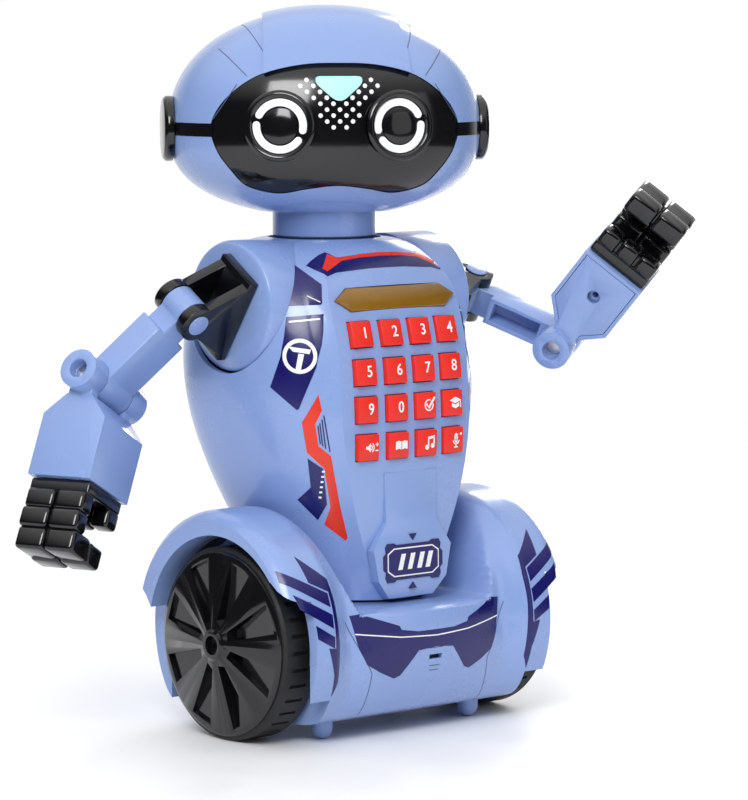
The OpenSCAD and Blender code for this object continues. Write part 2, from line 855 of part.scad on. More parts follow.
module forearm_cover() {
    difference() {
        union() {
            translate([0, 0, -fore_t / 2]) linear_extrude(2) fore_outline(seam - 0.4);
            end_knuckle(-1);
        }
        elbow_bore();
        // screw hole
        translate([screw_post_x, 0, -fore_t / 2 - 1]) cylinder(r = 2.6, h = 5, $fn = 48);
    }
}

module hand() {
    x0 = fore_end + part_gap;
    union() {
        // wrist stub that turns in the forearm
        along_x(wrist_r, x0 - 3.4, x0 + 1);
        // heel of the hand
        translate([x0, -hand_w / 2, -heel_h / 2]) cube([heel_t, hand_w, heel_h]);
        // two broad fingers: back, knuckle, curl and tip
        for (q = [-0.5, 0.5]) translate([x0, q * finger_pitch - finger_w / 2, 0]) union() {
            translate([heel_t - 1, 0, finger_z]) cube([8, finger_w, 8]);
            translate([heel_t + 6.6, 0, finger_z + 0.5]) cube([8, finger_w, 8.2]);
            translate([hand_len - 9.4, 0, 0.5]) cube([8.8, finger_w, finger_z + 7.1]);
            translate([hand_len - 8.6, 0, tip_z]) cube([8.6, finger_w, 1.1 - tip_z]);
        }
        // three short blocks of the thumb side
        for (k = [-1 : 1]) translate([x0 + heel_t - 1, k * thumb_pitch - thumb_w / 2, thumb_z])
            cube([7.6, thumb_w, 8]);
        // bridges behind the fingers and blocks
        translate([x0 + heel_t - 1, -10, finger_z + 0.9]) cube([20, 20, 5]);
        translate([x0 + heel_t - 1, -10, thumb_z + 1.8]) cube([6, 20, 5]);
    }
}

module left_bracket() color(gloss_black) place_up() shoulder(1) bracket();
module right_bracket() color(gloss_black) place_up() shoulder(-1) bracket();
module left_shoulder_pin() color(lavender) place_up() shoulder(1) shoulder_pin();
module right_shoulder_pin() color(lavender) place_up() shoulder(-1) shoulder_pin();
module left_upper_arm() color(lavender) place_up() raised(1) upper_arm();
module right_upper_arm() color(lavender) place_up() raised(-1) upper_arm();
module left_elbow_pin() color(steel) place_up() past_elbow(1) elbow_pin();
module right_elbow_pin() color(steel) place_up() past_elbow(-1) elbow_pin();
module left_forearm() color(lavender) place_up() past_elbow(1) forearm();
module right_forearm() color(lavender) place_up() past_elbow(-1) forearm();
module left_forearm_cover() color(lavender) place_up() past_elbow(1) forearm_cover();
module right_forearm_cover() color(lavender) place_up() past_elbow(-1) forearm_cover();
module left_hand() color(gloss_black) place_up() past_elbow(1) hand();
module right_hand() color(gloss_black) place_up() past_elbow(-1) hand();

// ---- head, drawn looking along -Y about the neck axis with the ear line at z = 0 ----

module head_frame() {
    translate([0, neck_y, ear_z]) rotate([0, 0, head_turn]) children();
}

function head_shrink(z) = z > 0
    ? sqrt(max(0, 1 - pow(z / head_up, 2.3)))
    : sqrt(max(0, 1 - pow(-z / head_down, 2.65)));

function head_ring(z, less) =
    let (k = head_shrink(z))
        ring(
            max(0.6, head_w / 2 * k - less), max(0.6, head_d / 2 * k - less), 0, 2.25,
            z * (1 - less / head_up), 0, 360, ring_n + 1
        );

up_levels = [for (k = [0 : 10]) head_up * sin(8.5 * k)];
down_levels = [for (k = [6 : -1 : 0]) -head_down * 0.93 * sin(15 * k)];

module closed_wall(outer, inner, cap) {
    rings = len(outer);
    n = len(outer[0]) - 1;
    m = rings * n;
    points = flat(concat(
        [for (r = outer) [for (i = [0 : n - 1]) r[i]]],
        [for (r = inner) [for (i = [0 : n - 1]) r[i]]]
    ));
    top = (rings - 1) * n;
    skin = flat([
        for (j = [0 : rings - 2]) for (i = [0 : n - 1])
            let (p = j * n + i, q = j * n + (i + 1) % n, r = p + n, s = q + n) [
                [p, r, s],
                [p, s, q],
                [m + p, m + s, m + r],
                [m + p, m + q, m + s]
            ]
    ]);
    foot = flat([
        for (i = [0 : n - 1])
            let (q = (i + 1) % n) [[i, q, m + q], [i, m + q, m + i]]
    ]);
    lid = cap
        ? [[for (i = [n - 1 : -1 : 0]) top + i], [for (i = [0 : n - 1]) m + top + i]]
        : flat([
            for (i = [0 : n - 1])
                let (q = (i + 1) % n) [[top + i, m + top + q, top + q], [top + i, m + top + i, m + top + q]]
        ]);
    polyhedron(points = points, faces = concat(skin, foot, lid), convexity = 6);
}

module mask_outline(grow) {
    side = mask_side + grow;
    top = mask_top + grow;
    low = -23.5 - grow;
    polygon([
        [-side, 0.5], [-side + 2.4, 8], [-side + 9, 15.5], [-side + 19, 21.5], [-14, top - 0.6],
        [0, top], [14, top - 0.6], [side - 19, 21.5], [side - 9, 15.5], [side - 2.4, 8], [side, 0.5],
        [side - 2.5, -8], [side - 8, -15.5], [side - 14, -21], [22, low], [12, low + 1.6], [0, low + 3],
        [-12, low + 1.6], [-22, low], [-side + 14, -21], [-side + 8, -15.5], [-side + 2.5, -8]
    ]);
}

module face_room(grow) {
    rotate([90, 0, 0]) linear_extrude(60) mask_outline(grow);
}

// flat seats that the ear caps sit in
module ear_seats() {
    for (s = [0, 180]) rotate([0, 0, s]) along_x(ear_r + 0.1, head_w / 2 - ear_seat, head_w / 2 + 10);
}

module head_top() color(lavender) place_up() head_frame() difference() {
    union() {
        closed_wall([for (z = up_levels) head_ring(z, 0)], [for (z = up_levels) head_ring(z, wall)], true);
        // raised crest from the brow over the crown
        intersection() {
            closed_wall(
                [for (z = up_levels) head_ring(z, -1.4)], [for (z = up_levels) head_ring(z, 1)], true
            );
            linear_extrude(60)
                polygon([[-29, -48], [29, -48], [24, 0], [20, 30], [-20, 30], [-24, 0]]);
        }
    }
    face_room(part_gap / 2);
    ear_seats();
}

module head_bottom() color(lavender) place_up() head_frame() difference() {
    union() {
        closed_wall(
            [for (z = down_levels) head_ring(z, 0)], [for (z = down_levels) head_ring(z, wall)], false
        );
        // floor of the head
        translate([0, 0, down_levels[0]])
            linear_extrude(wall) polygon([for (p = head_ring(down_levels[0], 1)) [p[0], p[1]]]);
        // neck tube
        translate([0, 0, collar_z + part_gap - ear_z])
            cylinder(r = neck_r, h = neck_grip - 2 * part_gap, $fn = 96);
    }
    face_room(part_gap / 2);
    ear_seats();
    // bore that turns on the neck post
    translate([0, 0, collar_z - 2 - ear_z])
        cylinder(r = neck_post_r + run_gap, h = neck_grip + 4, $fn = 96);
    // room for the flange of the neck post
    translate([0, 0, collar_z + neck_grip - part_gap - ear_z])
        cylinder(r = neck_post_r + neck_flange + 1, h = 20, $fn = 96);
}

module face_mask() color(gloss_black) place_up() head_frame() difference() {
    intersection() {
        closed_wall(
            [for (z = concat(down_levels, [for (k = [1 : 9]) up_levels[k]])) head_ring(z, 0.3)],
            [for (z = concat(down_levels, [for (k = [1 : 9]) up_levels[k]])) head_ring(z, 2.3)],
            true
        );
        face_room(-part_gap / 2);
    }
    for (s = [-1, 1]) eye_spot(s) cylinder(r = eye_r - 1.2 + part_gap / 2, h = 30, center = true, $fn = 72);
    rotate([90, 0, 0]) linear_extrude(60) brow_shape(part_gap / 2);
}

function face_y(x, z) =
    let (k = head_shrink(z)) -head_d / 2 * k * pow(1 - pow(abs(x) / (head_w / 2 * k), 2.25), 1 / 2.25);

// eye seats lie square to the face, a little turned out and up
module eye_spot(s) {
    translate([s * eye_x, face_y(eye_x, eye_z), eye_z])
        rotate([90 - 3, 0, s * 16]) children();
}

module bezel() {
    rotate_extrude($fn = 72)
        polygon([
            [0, -3.2], [eye_r - 1.2, -3.2], [eye_r - 1.2, 0.6], [eye_r, 1], [eye_r, 2],
            [eye_r - 1.2, 2.8], [eye_r - 2.6, 2.2], [eye_r - 3, 0.4], [0, 0.4]
        ]);
}

module eye_ring_light() {
    rotate_extrude($fn = 72)
        polygon([[6.6, 0.4], [eye_r - 3.2, 0.4], [eye_r - 3.2, 1.1], [6.6, 1.5]]);
}

module brow_shape(grow) {
    polygon([
        [-8 - grow, 20.5 + grow], [8 + grow, 20.5 + grow], [8.8 + grow, 18.6],
        [2 + grow, 11.4 - grow], [-2 - grow, 11.4 - grow], [-8.8 - grow, 18.6]
    ]);
}

module left_bezel() color(gloss_black) place_up() head_frame() eye_spot(1) bezel();
module right_bezel() color(gloss_black) place_up() head_frame() eye_spot(-1) bezel();
module left_eye_light() color(light_white) place_up() head_frame() eye_spot(1) eye_ring_light();
module right_eye_light() color(light_white) place_up() head_frame() eye_spot(-1) eye_ring_light();

module forehead_light() color(light_blue) place_up() head_frame() intersection() {
    closed_wall(
        [for (z = up_levels) head_ring(z, 0)], [for (z = up_levels) head_ring(z, 2)], true
    );
    rotate([90, 0, 0]) linear_extrude(60) brow_shape(0);
}

module ear_cap() {
    in = head_w / 2 - ear_seat;
    out = head_w / 2 + ear_out;
    rotate([0, 90, 0]) rotate_extrude($fn = 72)
        polygon([[0, in], [ear_r, in], [ear_r, out - 1.6], [ear_r - 1.2, out - 0.4], [0, out]]);
}

module left_ear() color(gloss_black) place_up() head_frame() ear_cap();
module right_ear() color(gloss_black) place_up() head_frame() rotate([0, 0, 180]) ear_cap();

// ---- draw ----

base_shell();
bottom_tray();
battery_door();
battery_cells();
left_gearbox();
right_gearbox();
power_switch();
left_tyre();
left_wheel_disc();
right_tyre();
right_wheel_disc();
torso_front();
torso_rear();
left_cup();
right_cup();
neck_post();
display_window();
main_board();
housing_screws();
key_1();
key_2();
key_3();
key_4();
key_5();
key_6();
key_7();
key_8();
key_9();
key_0();
key_check();
key_learn();
key_sound();
key_story();
key_music();
key_voice();
left_bracket();
left_shoulder_pin();
left_upper_arm();
left_elbow_pin();
left_forearm();
left_forearm_cover();
left_hand();
right_bracket();
right_shoulder_pin();
right_upper_arm();
right_elbow_pin();
right_forearm();
right_forearm_cover();
right_hand();
head_top();
head_bottom();
face_mask();
left_bezel();
right_bezel();
left_eye_light();
right_eye_light();
forehead_light();
left_ear();
right_ear();
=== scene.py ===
# %% [markdown]
# # A coding robot for the classroom
#
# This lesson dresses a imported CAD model: a toy robot on two wheels, with a keypad on its chest,
# two jointed arms and a turning head. The CAD solids set every size and every joint. Here each
# visible piece gets its finished surface: moulded housings with soft edges, printed graphics,
# keys with symbols and glossy black covers.
#
# Sizes in this file are in millimetres, measured from the robot's middle plane, as a maker would
# write them on a drawing. The function `spot` turns them into metres in the shared frame.

import json
import math

import bpy
from mathutils import Matrix, Vector

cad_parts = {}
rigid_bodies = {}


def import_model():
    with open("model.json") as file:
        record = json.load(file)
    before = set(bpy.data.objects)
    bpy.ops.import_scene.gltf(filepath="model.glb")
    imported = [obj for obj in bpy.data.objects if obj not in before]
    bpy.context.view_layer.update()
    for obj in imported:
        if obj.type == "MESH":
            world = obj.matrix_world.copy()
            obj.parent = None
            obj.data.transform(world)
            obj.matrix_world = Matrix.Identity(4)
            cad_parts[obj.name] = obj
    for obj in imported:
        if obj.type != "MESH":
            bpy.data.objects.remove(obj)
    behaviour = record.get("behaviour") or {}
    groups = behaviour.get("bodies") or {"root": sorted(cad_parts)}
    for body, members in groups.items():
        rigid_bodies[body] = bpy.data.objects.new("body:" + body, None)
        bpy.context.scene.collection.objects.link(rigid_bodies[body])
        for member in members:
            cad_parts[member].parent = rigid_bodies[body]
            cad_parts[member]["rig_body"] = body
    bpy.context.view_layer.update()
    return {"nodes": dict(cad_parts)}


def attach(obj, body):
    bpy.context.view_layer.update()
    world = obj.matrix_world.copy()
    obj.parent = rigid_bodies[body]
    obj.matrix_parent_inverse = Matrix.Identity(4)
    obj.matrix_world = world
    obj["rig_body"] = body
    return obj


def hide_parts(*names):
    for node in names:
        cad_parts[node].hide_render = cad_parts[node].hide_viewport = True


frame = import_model()
nodes = frame["nodes"]

MM = 0.001
MID_X, MID_Y, LIFT = 8.4, 1.7, 2.3
cos, sin, rad = math.cos, math.sin, math.radians


def spot(x, y, z):
    """A place on the drawing, in metres in the shared frame."""
    return Vector((x + MID_X, y + MID_Y, z + LIFT)) * MM


def turned(angle, axis):
    return Matrix.Rotation(rad(angle), 4, axis)


PLACE = Matrix.Translation(spot(0, 0, 0)) @ Matrix.Scale(MM, 4)

# %% [markdown]
# ## Working steps that come back again and again
#
# A piece is chosen before a step works on it, so every helper starts by letting go of the others.
# A modifier would do for a draft, but each one is applied here, because the finished mesh is what
# leaves the workshop.


# %% Helpers for choosing, editing and finishing a piece
def choose(*pieces):
    bpy.ops.object.select_all(action="DESELECT")
    for piece in pieces:
        piece.select_set(True)
    bpy.context.view_layer.objects.active = pieces[0]
    return pieces[0]


def tidy_mesh(piece):
    """Joins corners that lie on each other and turns every face outward."""
    choose(piece)
    bpy.ops.object.mode_set(mode="EDIT")
    bpy.ops.mesh.select_all(action="SELECT")
    bpy.ops.mesh.remove_doubles(threshold=2e-6)
    bpy.ops.mesh.normals_make_consistent(inside=False)
    bpy.ops.object.mode_set(mode="OBJECT")
    return piece


def apply_all(piece):
    choose(piece)
    for modifier in list(piece.modifiers):
        bpy.ops.object.modifier_apply(modifier=modifier.name)
    return piece


def smooth(piece, angle=30):
    choose(piece)
    bpy.ops.object.shade_smooth_by_angle(angle=rad(angle))
    return piece


def bevel(piece, width, segments=2, angle=35):
    modifier = piece.modifiers.new("edge", "BEVEL")
    modifier.width = width * MM
    modifier.segments = segments
    modifier.limit_method = "ANGLE"
    modifier.angle_limit = rad(angle)
    modifier.use_clamp_overlap = True
    return apply_all(piece)


def combine(piece, tool, how="DIFFERENCE"):
    """Cuts, keeps or adds the tool's volume, then puts the tool away."""
    modifier = piece.modifiers.new("cut", "BOOLEAN")
    modifier.operation = how
    modifier.solver = "EXACT"
    modifier.object = tool
    apply_all(piece)
    bpy.data.objects.remove(tool)
    return piece


def join(pieces, name):
    pieces = [p for p in pieces if p is not None]
    choose(*pieces)
    if len(pieces) > 1:
        bpy.ops.object.join()
    pieces[0].name = name
    return pieces[0]


def copy_of(piece, name):
    twin = bpy.data.objects.new(name, piece.data.copy())
    bpy.context.scene.collection.objects.link(twin)
    return twin


# %% [markdown]
# ## Ways to make a shape
#
# Four ways cover the whole robot. A `lofted` surface is a sheet of squares laid through rows of
# points, for the soft housings. A `plate` is an outline pushed to a thickness, for anything cut
# from a flat shape. A `turned_part` is a profile spun about its own axis. A `from_cad` piece takes
# a crisp CAD solid and rounds its edges, which is quicker than drawing a boxy part twice.


# %% Lofted sheets, plates, turned parts and eased CAD solids
def lofted(name, rows, thick=0.0):
    """A sheet laid through rows of points; thick gives it a wall on its inner side."""
    up, across = len(rows) - 1, len(rows[0]) - 1
    bpy.ops.mesh.primitive_grid_add(x_subdivisions=across, y_subdivisions=up, size=2)
    piece = bpy.context.object
    piece.name = name
    for vertex in piece.data.vertices:
        i = round((vertex.co.x + 1) / 2 * across)
        j = round((vertex.co.y + 1) / 2 * up)
        vertex.co = spot(*rows[j][i])
    tidy_mesh(piece)
    if thick:
        middle = sum((v.co for v in piece.data.vertices), Vector()) / len(piece.data.vertices)
        outward = sum((v.co - middle).dot(v.normal) for v in piece.data.vertices)
        if outward < 0:
            bpy.ops.object.mode_set(mode="EDIT")
            bpy.ops.mesh.select_all(action="SELECT")
            bpy.ops.mesh.flip_normals()
            bpy.ops.object.mode_set(mode="OBJECT")
        modifier = piece.modifiers.new("wall", "SOLIDIFY")
        modifier.thickness = thick * MM
        modifier.offset = -1
        apply_all(piece)
        tidy_mesh(piece)
    return piece


def plate(name, outline, low, high, matrix):
    """An outline in its own flat plane, pushed from low to high along that plane's normal."""
    bpy.ops.mesh.primitive_circle_add(vertices=len(outline), radius=1, fill_type="NGON")
    piece = bpy.context.object
    piece.name = name
    for vertex, (x, y) in zip(piece.data.vertices, outline):
        vertex.co = matrix @ Vector((x, y, low))
    bpy.ops.object.mode_set(mode="EDIT")
    bpy.ops.mesh.select_all(action="SELECT")
    push = matrix.to_3x3() @ Vector((0, 0, high - low))
    bpy.ops.mesh.extrude_region_move(TRANSFORM_OT_translate={"value": push})
    bpy.ops.mesh.select_all(action="SELECT")
    bpy.ops.mesh.normals_make_consistent(inside=False)
    bpy.ops.object.mode_set(mode="OBJECT")
    return piece


def flowing(outline, steps=5):
    """The same outline, closed, with a smooth curve through its corners."""
    n, out = len(outline), []
    for k in range(n):
        a, b, c, d = (outline[(k + j - 1) % n] for j in range(4))
        for q in range(steps):
            u = q / steps
            out.append(tuple(
                0.5 * (2 * b[i] + (c[i] - a[i]) * u + (2 * a[i] - 5 * b[i] + 4 * c[i] - d[i]) * u * u
                       + (3 * b[i] - a[i] - 3 * c[i] + d[i]) * u ** 3) for i in (0, 1)))
    return out


def softened(outline, reach):
    """The same outline with each corner rounded, starting a reach away from it."""
    n, out = len(outline), []
    for k in range(n):
        a, b, c = outline[k - 1], outline[k], outline[(k + 1) % n]
        ends = []
        for p in (a, c):
            size = math.hypot(p[0] - b[0], p[1] - b[1])
            step = min(reach, size * 0.45) / size
            ends.append((b[0] + (p[0] - b[0]) * step, b[1] + (p[1] - b[1]) * step))
        for u in (0, 0.25, 0.5, 0.75, 1):
            out.append(tuple((1 - u) ** 2 * ends[0][i] + 2 * u * (1 - u) * b[i] + u * u * ends[1][i]
                             for i in (0, 1)))
    return out


def plates(name, outlines, low, high, matrix):
    return join([plate(name + "_p", o, low, high, matrix) for o in outlines], name)


def seen_from(turn):
    """The flat plane seen from the front, turned by an angle; its +Z points at the viewer."""
    return PLACE @ turned(turn, "Z") @ turned(90, "X")


def ring_points(radius, start=0, end=360, steps=48, x=0, y=0):
    return [
        (x + radius * cos(rad(start + (end - start) * k / steps)),
         y + radius * sin(rad(start + (end - start) * k / steps)))
        for k in range(steps + (0 if end - start == 360 else 1))
    ]


def arc_band(inner, outer, start, end, steps=24):
    """The outline of part of a flat ring, with round ends."""
    middle, half = (inner + outer) / 2, (outer - inner) / 2
    out = ring_points(outer, start, end, steps)
    cap_a = [
        (middle * cos(rad(end)) + half * cos(rad(end + a)),
         middle * sin(rad(end)) + half * sin(rad(end + a)))
        for a in range(20, 180, 20)
    ]
    back = ring_points(inner, end, start, steps)
    cap_b = [
        (middle * cos(rad(start)) + half * cos(rad(start + 180 + a)),
         middle * sin(rad(start)) + half * sin(rad(start + 180 + a)))
        for a in range(20, 180, 20)
    ]
    return out + cap_a + back + cap_b


def turned_part(name, profile, steps, matrix):
    """A profile of (radius, height) pairs, spun once round its own axis."""
    bpy.ops.mesh.primitive_circle_add(vertices=len(profile), radius=1, fill_type="NOTHING")
    piece = bpy.context.object
    piece.name = name
    for vertex, (r, h) in zip(piece.data.vertices, profile):
        vertex.co = (r, 0, h)
    bpy.ops.object.mode_set(mode="EDIT")
    bpy.ops.mesh.select_all(action="SELECT")
    bpy.ops.mesh.spin(steps=steps, angle=rad(360), center=(0, 0, 0), axis=(0, 0, 1))
    bpy.ops.mesh.select_all(action="SELECT")
    bpy.ops.mesh.remove_doubles(threshold=1e-4)
    bpy.ops.mesh.normals_make_consistent(inside=False)
    bpy.ops.object.mode_set(mode="OBJECT")
    piece.data.transform(matrix)
    tidy_mesh(piece)
    return piece


def from_cad(node, name=None, width=0.5, segments=2, angle=35, shade=32):
    """A copy of a CAD solid with its flat faces made whole and its edges eased."""
    source = nodes[node]
    piece = copy_of(source, name or node + "_eased")
    piece.data.materials.clear()
    choose(piece)
    bpy.ops.object.mode_set(mode="EDIT")
    bpy.ops.mesh.select_all(action="SELECT")
    bpy.ops.mesh.remove_doubles(threshold=5e-6)
    bpy.ops.mesh.dissolve_limited(angle_limit=rad(0.5))
    bpy.ops.mesh.normals_make_consistent(inside=False)
    bpy.ops.object.mode_set(mode="OBJECT")
    if width:
        bevel(piece, width, segments, angle)
    smooth(piece, shade)
    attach(piece, source["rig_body"])
    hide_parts(node)
    return piece


def dress(piece, material, body=None, stands_for=(), angle=30):
    """The last step for a piece: surface, shading, the body it rides on and what it stands for."""
    piece.data.materials.clear()
    piece.data.materials.append(looks[material])
    smooth(piece, angle)
    if body:
        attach(piece, body)
    if stands_for:
        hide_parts(*stands_for)
    return piece


# %% [markdown]
# ## Surfaces
#
# Moulded plastic is never quite even. Under a lamp it shows a faint waviness from the mould and a
# very fine grain, and a toy that has been handled has a slightly duller bloom in places. Two node
# groups carry these effects, and every material uses them at its own strength.

# %% Node groups for grain and bloom
def new_group(name, inputs, outputs):
    group = bpy.data.node_groups.new(name, "ShaderNodeTree")
    for label, value in inputs:
        socket = group.interface.new_socket(name=label, in_out="INPUT", socket_type="NodeSocketFloat")
        socket.default_value = value
    for label in outputs:
        group.interface.new_socket(name=label, in_out="OUTPUT", socket_type="NodeSocketFloat")
    start, end = group.nodes.new("NodeGroupInput"), group.nodes.new("NodeGroupOutput")
    start.location, end.location = (-800, 0), (700, 0)
    return group, start, end


def grain_group():
    """Height of a fine moulded grain over a slow waviness."""
    group, start, end = new_group("moulded_grain", [("Scale", 600.0), ("Waviness", 0.5)], ["Height"])
    add, link = group.nodes.new, group.links.new
    place = add("ShaderNodeTexCoord")
    fine, slow = add("ShaderNodeTexNoise"), add("ShaderNodeTexNoise")
    fine.inputs["Detail"].default_value = 3.0
    slow.inputs["Scale"].default_value = 38.0
    slow.inputs["Detail"].default_value = 1.0
    mix = add("ShaderNodeMath")
    mix.operation = "MULTIPLY_ADD"
    link(place.outputs["Object"], fine.inputs["Vector"])
    link(place.outputs["Object"], slow.inputs["Vector"])
    link(start.outputs["Scale"], fine.inputs["Scale"])
    link(slow.outputs["Fac"], mix.inputs[0])
    link(start.outputs["Waviness"], mix.inputs[1])
    link(fine.outputs["Fac"], mix.inputs[2])
    link(mix.outputs[0], end.inputs["Height"])
    return group


def bloom_group():
    """A soft patchy mask, stronger where a surface faces up and gathers dust."""
    group, start, end = new_group("handled_bloom", [("Size", 30.0), ("Dust", 0.3)], ["Patches", "Dusty"])
    add, link = group.nodes.new, group.links.new
    place, facing = add("ShaderNodeTexCoord"), add("ShaderNodeNewGeometry")
    cloud = add("ShaderNodeTexNoise")
    cloud.inputs["Detail"].default_value = 5.0
    cloud.inputs["Roughness"].default_value = 0.62
    split = add("ShaderNodeSeparateXYZ")
    level = add("ShaderNodeMapRange")
    level.inputs["From Min"].default_value = 0.35
    level.inputs["From Max"].default_value = 0.7
    upward = add("ShaderNodeMapRange")
    upward.inputs["From Min"].default_value = 0.2
    product, scaled = add("ShaderNodeMath"), add("ShaderNodeMath")
    product.operation = scaled.operation = "MULTIPLY"
    link(place.outputs["Object"], cloud.inputs["Vector"])
    link(start.outputs["Size"], cloud.inputs["Scale"])
    link(cloud.outputs["Fac"], level.inputs["Value"])
    link(facing.outputs["Normal"], split.inputs["Vector"])
    link(split.outputs["Z"], upward.inputs["Value"])
    link(level.outputs["Result"], product.inputs[0])
    link(upward.outputs["Result"], product.inputs[1])
    link(product.outputs[0], scaled.inputs[0])
    link(start.outputs["Dust"], scaled.inputs[1])
    link(level.outputs["Result"], end.inputs["Patches"])
    link(scaled.outputs[0], end.inputs["Dusty"])
    return group


GRAIN, BLOOM = grain_group(), bloom_group()
looks = {}


# %% One recipe for every moulded, printed, painted or rubber surface
def surface(name, colour, rough, coat=0.0, grain=600.0, wave=0.5, bump=0.05, vary=0.06,
            dust=0.1, metal=0.0, glow=0.0, through=0.0, coat_rough=0.05, reach=0.0002):
    material = bpy.data.materials.new(name)
    material.use_nodes = True
    tree = material.node_tree
    add, link = tree.nodes.new, tree.links.new
    shader = tree.nodes["Principled BSDF"]
    shader.inputs["Metallic"].default_value = metal
    shader.inputs["Coat Weight"].default_value = coat
    shader.inputs["Coat Roughness"].default_value = coat_rough
    shader.inputs["Transmission Weight"].default_value = through
    shader.inputs["IOR"].default_value = 1.5
    grainy, bloom = add("ShaderNodeGroup"), add("ShaderNodeGroup")
    grainy.node_tree, bloom.node_tree = GRAIN, BLOOM
    grainy.inputs["Scale"].default_value = grain
    grainy.inputs["Waviness"].default_value = wave
    bloom.inputs["Size"].default_value = 26.0
    bloom.inputs["Dust"].default_value = dust
    tone, dusty = add("ShaderNodeMix"), add("ShaderNodeMix")
    tone.data_type = dusty.data_type = "RGBA"
    low = [c * (1 - vary) for c in colour] + [1]
    high = [min(1, c * (1 + vary)) for c in colour] + [1]
    tone.inputs["A"].default_value = low
    tone.inputs["B"].default_value = high
    dusty.inputs["B"].default_value = (0.55, 0.56, 0.6, 1)
    gloss = add("ShaderNodeMapRange")
    gloss.inputs["To Min"].default_value = rough * 0.85
    gloss.inputs["To Max"].default_value = min(1.0, rough * 1.25)
    relief = add("ShaderNodeBump")
    relief.inputs["Strength"].default_value = bump
    relief.inputs["Distance"].default_value = reach
    link(bloom.outputs["Patches"], tone.inputs["Factor"])
    link(tone.outputs["Result"], dusty.inputs["A"])
    link(bloom.outputs["Dusty"], dusty.inputs["Factor"])
    link(dusty.outputs["Result"], shader.inputs["Base Color"])
    link(bloom.outputs["Patches"], gloss.inputs["Value"])
    link(gloss.outputs["Result"], shader.inputs["Roughness"])
    link(grainy.outputs["Height"], relief.inputs["Height"])
    link(relief.outputs["Normal"], shader.inputs["Normal"])
    if glow:
        link(tone.outputs["Result"], shader.inputs["Emission Color"])
        shader.inputs["Emission Strength"].default_value = glow
    looks[name] = material
    return material


surface("lavender_plastic", (0.242, 0.352, 0.665), 0.25, coat=0.3, bump=0.03, vary=0.012, dust=0.0)
surface("gloss_black", (0.004, 0.004, 0.005), 0.14, coat=0.25, bump=0.02, dust=0.002)
surface("black_plastic", (0.008, 0.008, 0.009), 0.42, grain=900, bump=0.12, dust=0.004)
surface("tyre_rubber", (0.006, 0.006, 0.006), 0.62, grain=1400, bump=0.3, dust=0.006, vary=0.15)
surface("key_red", (0.800, 0.022, 0.012), 0.42, grain=1200, bump=0.06, vary=0.04, dust=0.0)
surface("amber_window", (0.260, 0.125, 0.008), 0.22, coat=0.4, wave=2.0, bump=0.10, vary=0.22, dust=0.0)
surface("screw_steel", (0.560, 0.565, 0.580), 0.32, metal=1.0, grain=1500, bump=0.1)
surface("motor_metal", (0.480, 0.490, 0.510), 0.45, metal=0.6, bump=0.1)
surface("circuit_board", (0.010, 0.130, 0.050), 0.4, grain=1500, bump=0.1, vary=0.15)
surface("cell_wrap", (0.040, 0.050, 0.070), 0.35, metal=0.3, bump=0.05)
surface("eye_white", (0.880, 0.900, 0.920), 0.30, bump=0.03, vary=0.02, glow=0.25)
surface("light_blue", (0.420, 0.800, 0.880), 0.28, coat=0.3, bump=0.03, vary=0.05, glow=0.15)
surface("navy_print", (0.004, 0.003, 0.110), 0.26, coat=0.1, bump=0.03, vary=0.10, dust=0.0)
surface("orange_print", (0.720, 0.030, 0.006), 0.26, coat=0.1, bump=0.03, vary=0.05, dust=0.0)
surface("white_print", (0.860, 0.870, 0.890), 0.30, coat=0.2, bump=0.03, vary=0.02)
# Painted shade: the lavender darkened to a deep blue, laid inside the wheel arches and along the crease lines
# of the base and the helmet.
surface("painted_shade_dark", (0.060, 0.075, 0.150), 0.6, bump=0.05, vary=0.1)
print("surfaces:", ", ".join(sorted(looks)))

# %% [markdown]
# ## The base
#
# The base housing is one barrel lying across the robot, with a dish for the torso in the middle
# and an arch over each wheel. It could be carved from a block, but a loft through side sections
# follows the drawing better: each section is a circle, cut softly by the dish and by the flat
# underside. The wheel rooms and the inside are then cut out, as they are in the CAD part.

# %% Sections of the base
BASE_R, BASE_LOW, BASE_Y, BASE_Z, SIDE = 48.3, 4.5, 1.5, 36.0, 70.0
AXLE_Y, AXLE_Z = -1.5, 34.2
ARCH_R, ROOM_X, WALL = 41.0, 49.5, 2.2
DISH_Z, DISH_HALF, DISH_SLOPE = 47.2, 31, 19
DIP, DIP_X, DIP_SLOPE = 6.2, 38, 12
CUT_SOFTNESS = 14


def base_top(x):
    """Height of the dish at x, above the middle of the section."""
    u = min(1, max(0, (abs(x) - DISH_HALF) / DISH_SLOPE))
    return DISH_Z - BASE_Z + (BASE_R + 14 + BASE_Z - DISH_Z) * u * u * (3 - 2 * u)


def base_dip(x):
    """How far the front curves back at x, between its middle and the arch."""
    u = abs(x)
    if u < DIP_X:
        return DIP * (u / DIP_X) ** 2
    return DIP * max(0, 1 - ((u - DIP_X) / DIP_SLOPE) ** 2) ** 2


def base_section(x, radius, turn, less=0.0):
    r = radius - base_dip(x) * max(0, -cos(rad(turn))) * min(1, max(0, 1 + 1.5 * sin(rad(turn))))
    up = base_top(x) / sin(rad(turn)) if sin(rad(turn)) > 0.02 else 1000
    low = (BASE_LOW - BASE_Z) / sin(rad(turn)) if sin(rad(turn)) < -0.02 else 1000
    q = (r ** -CUT_SOFTNESS + up ** -CUT_SOFTNESS + low ** -CUT_SOFTNESS) ** (-1 / CUT_SOFTNESS) - less
    return (x, BASE_Y + q * cos(rad(turn)), BASE_Z + q * sin(rad(turn)))


def rim_radius(x):
    return BASE_R - 4 * (max(0, abs(x) - SIDE + 9) / 9) ** 3


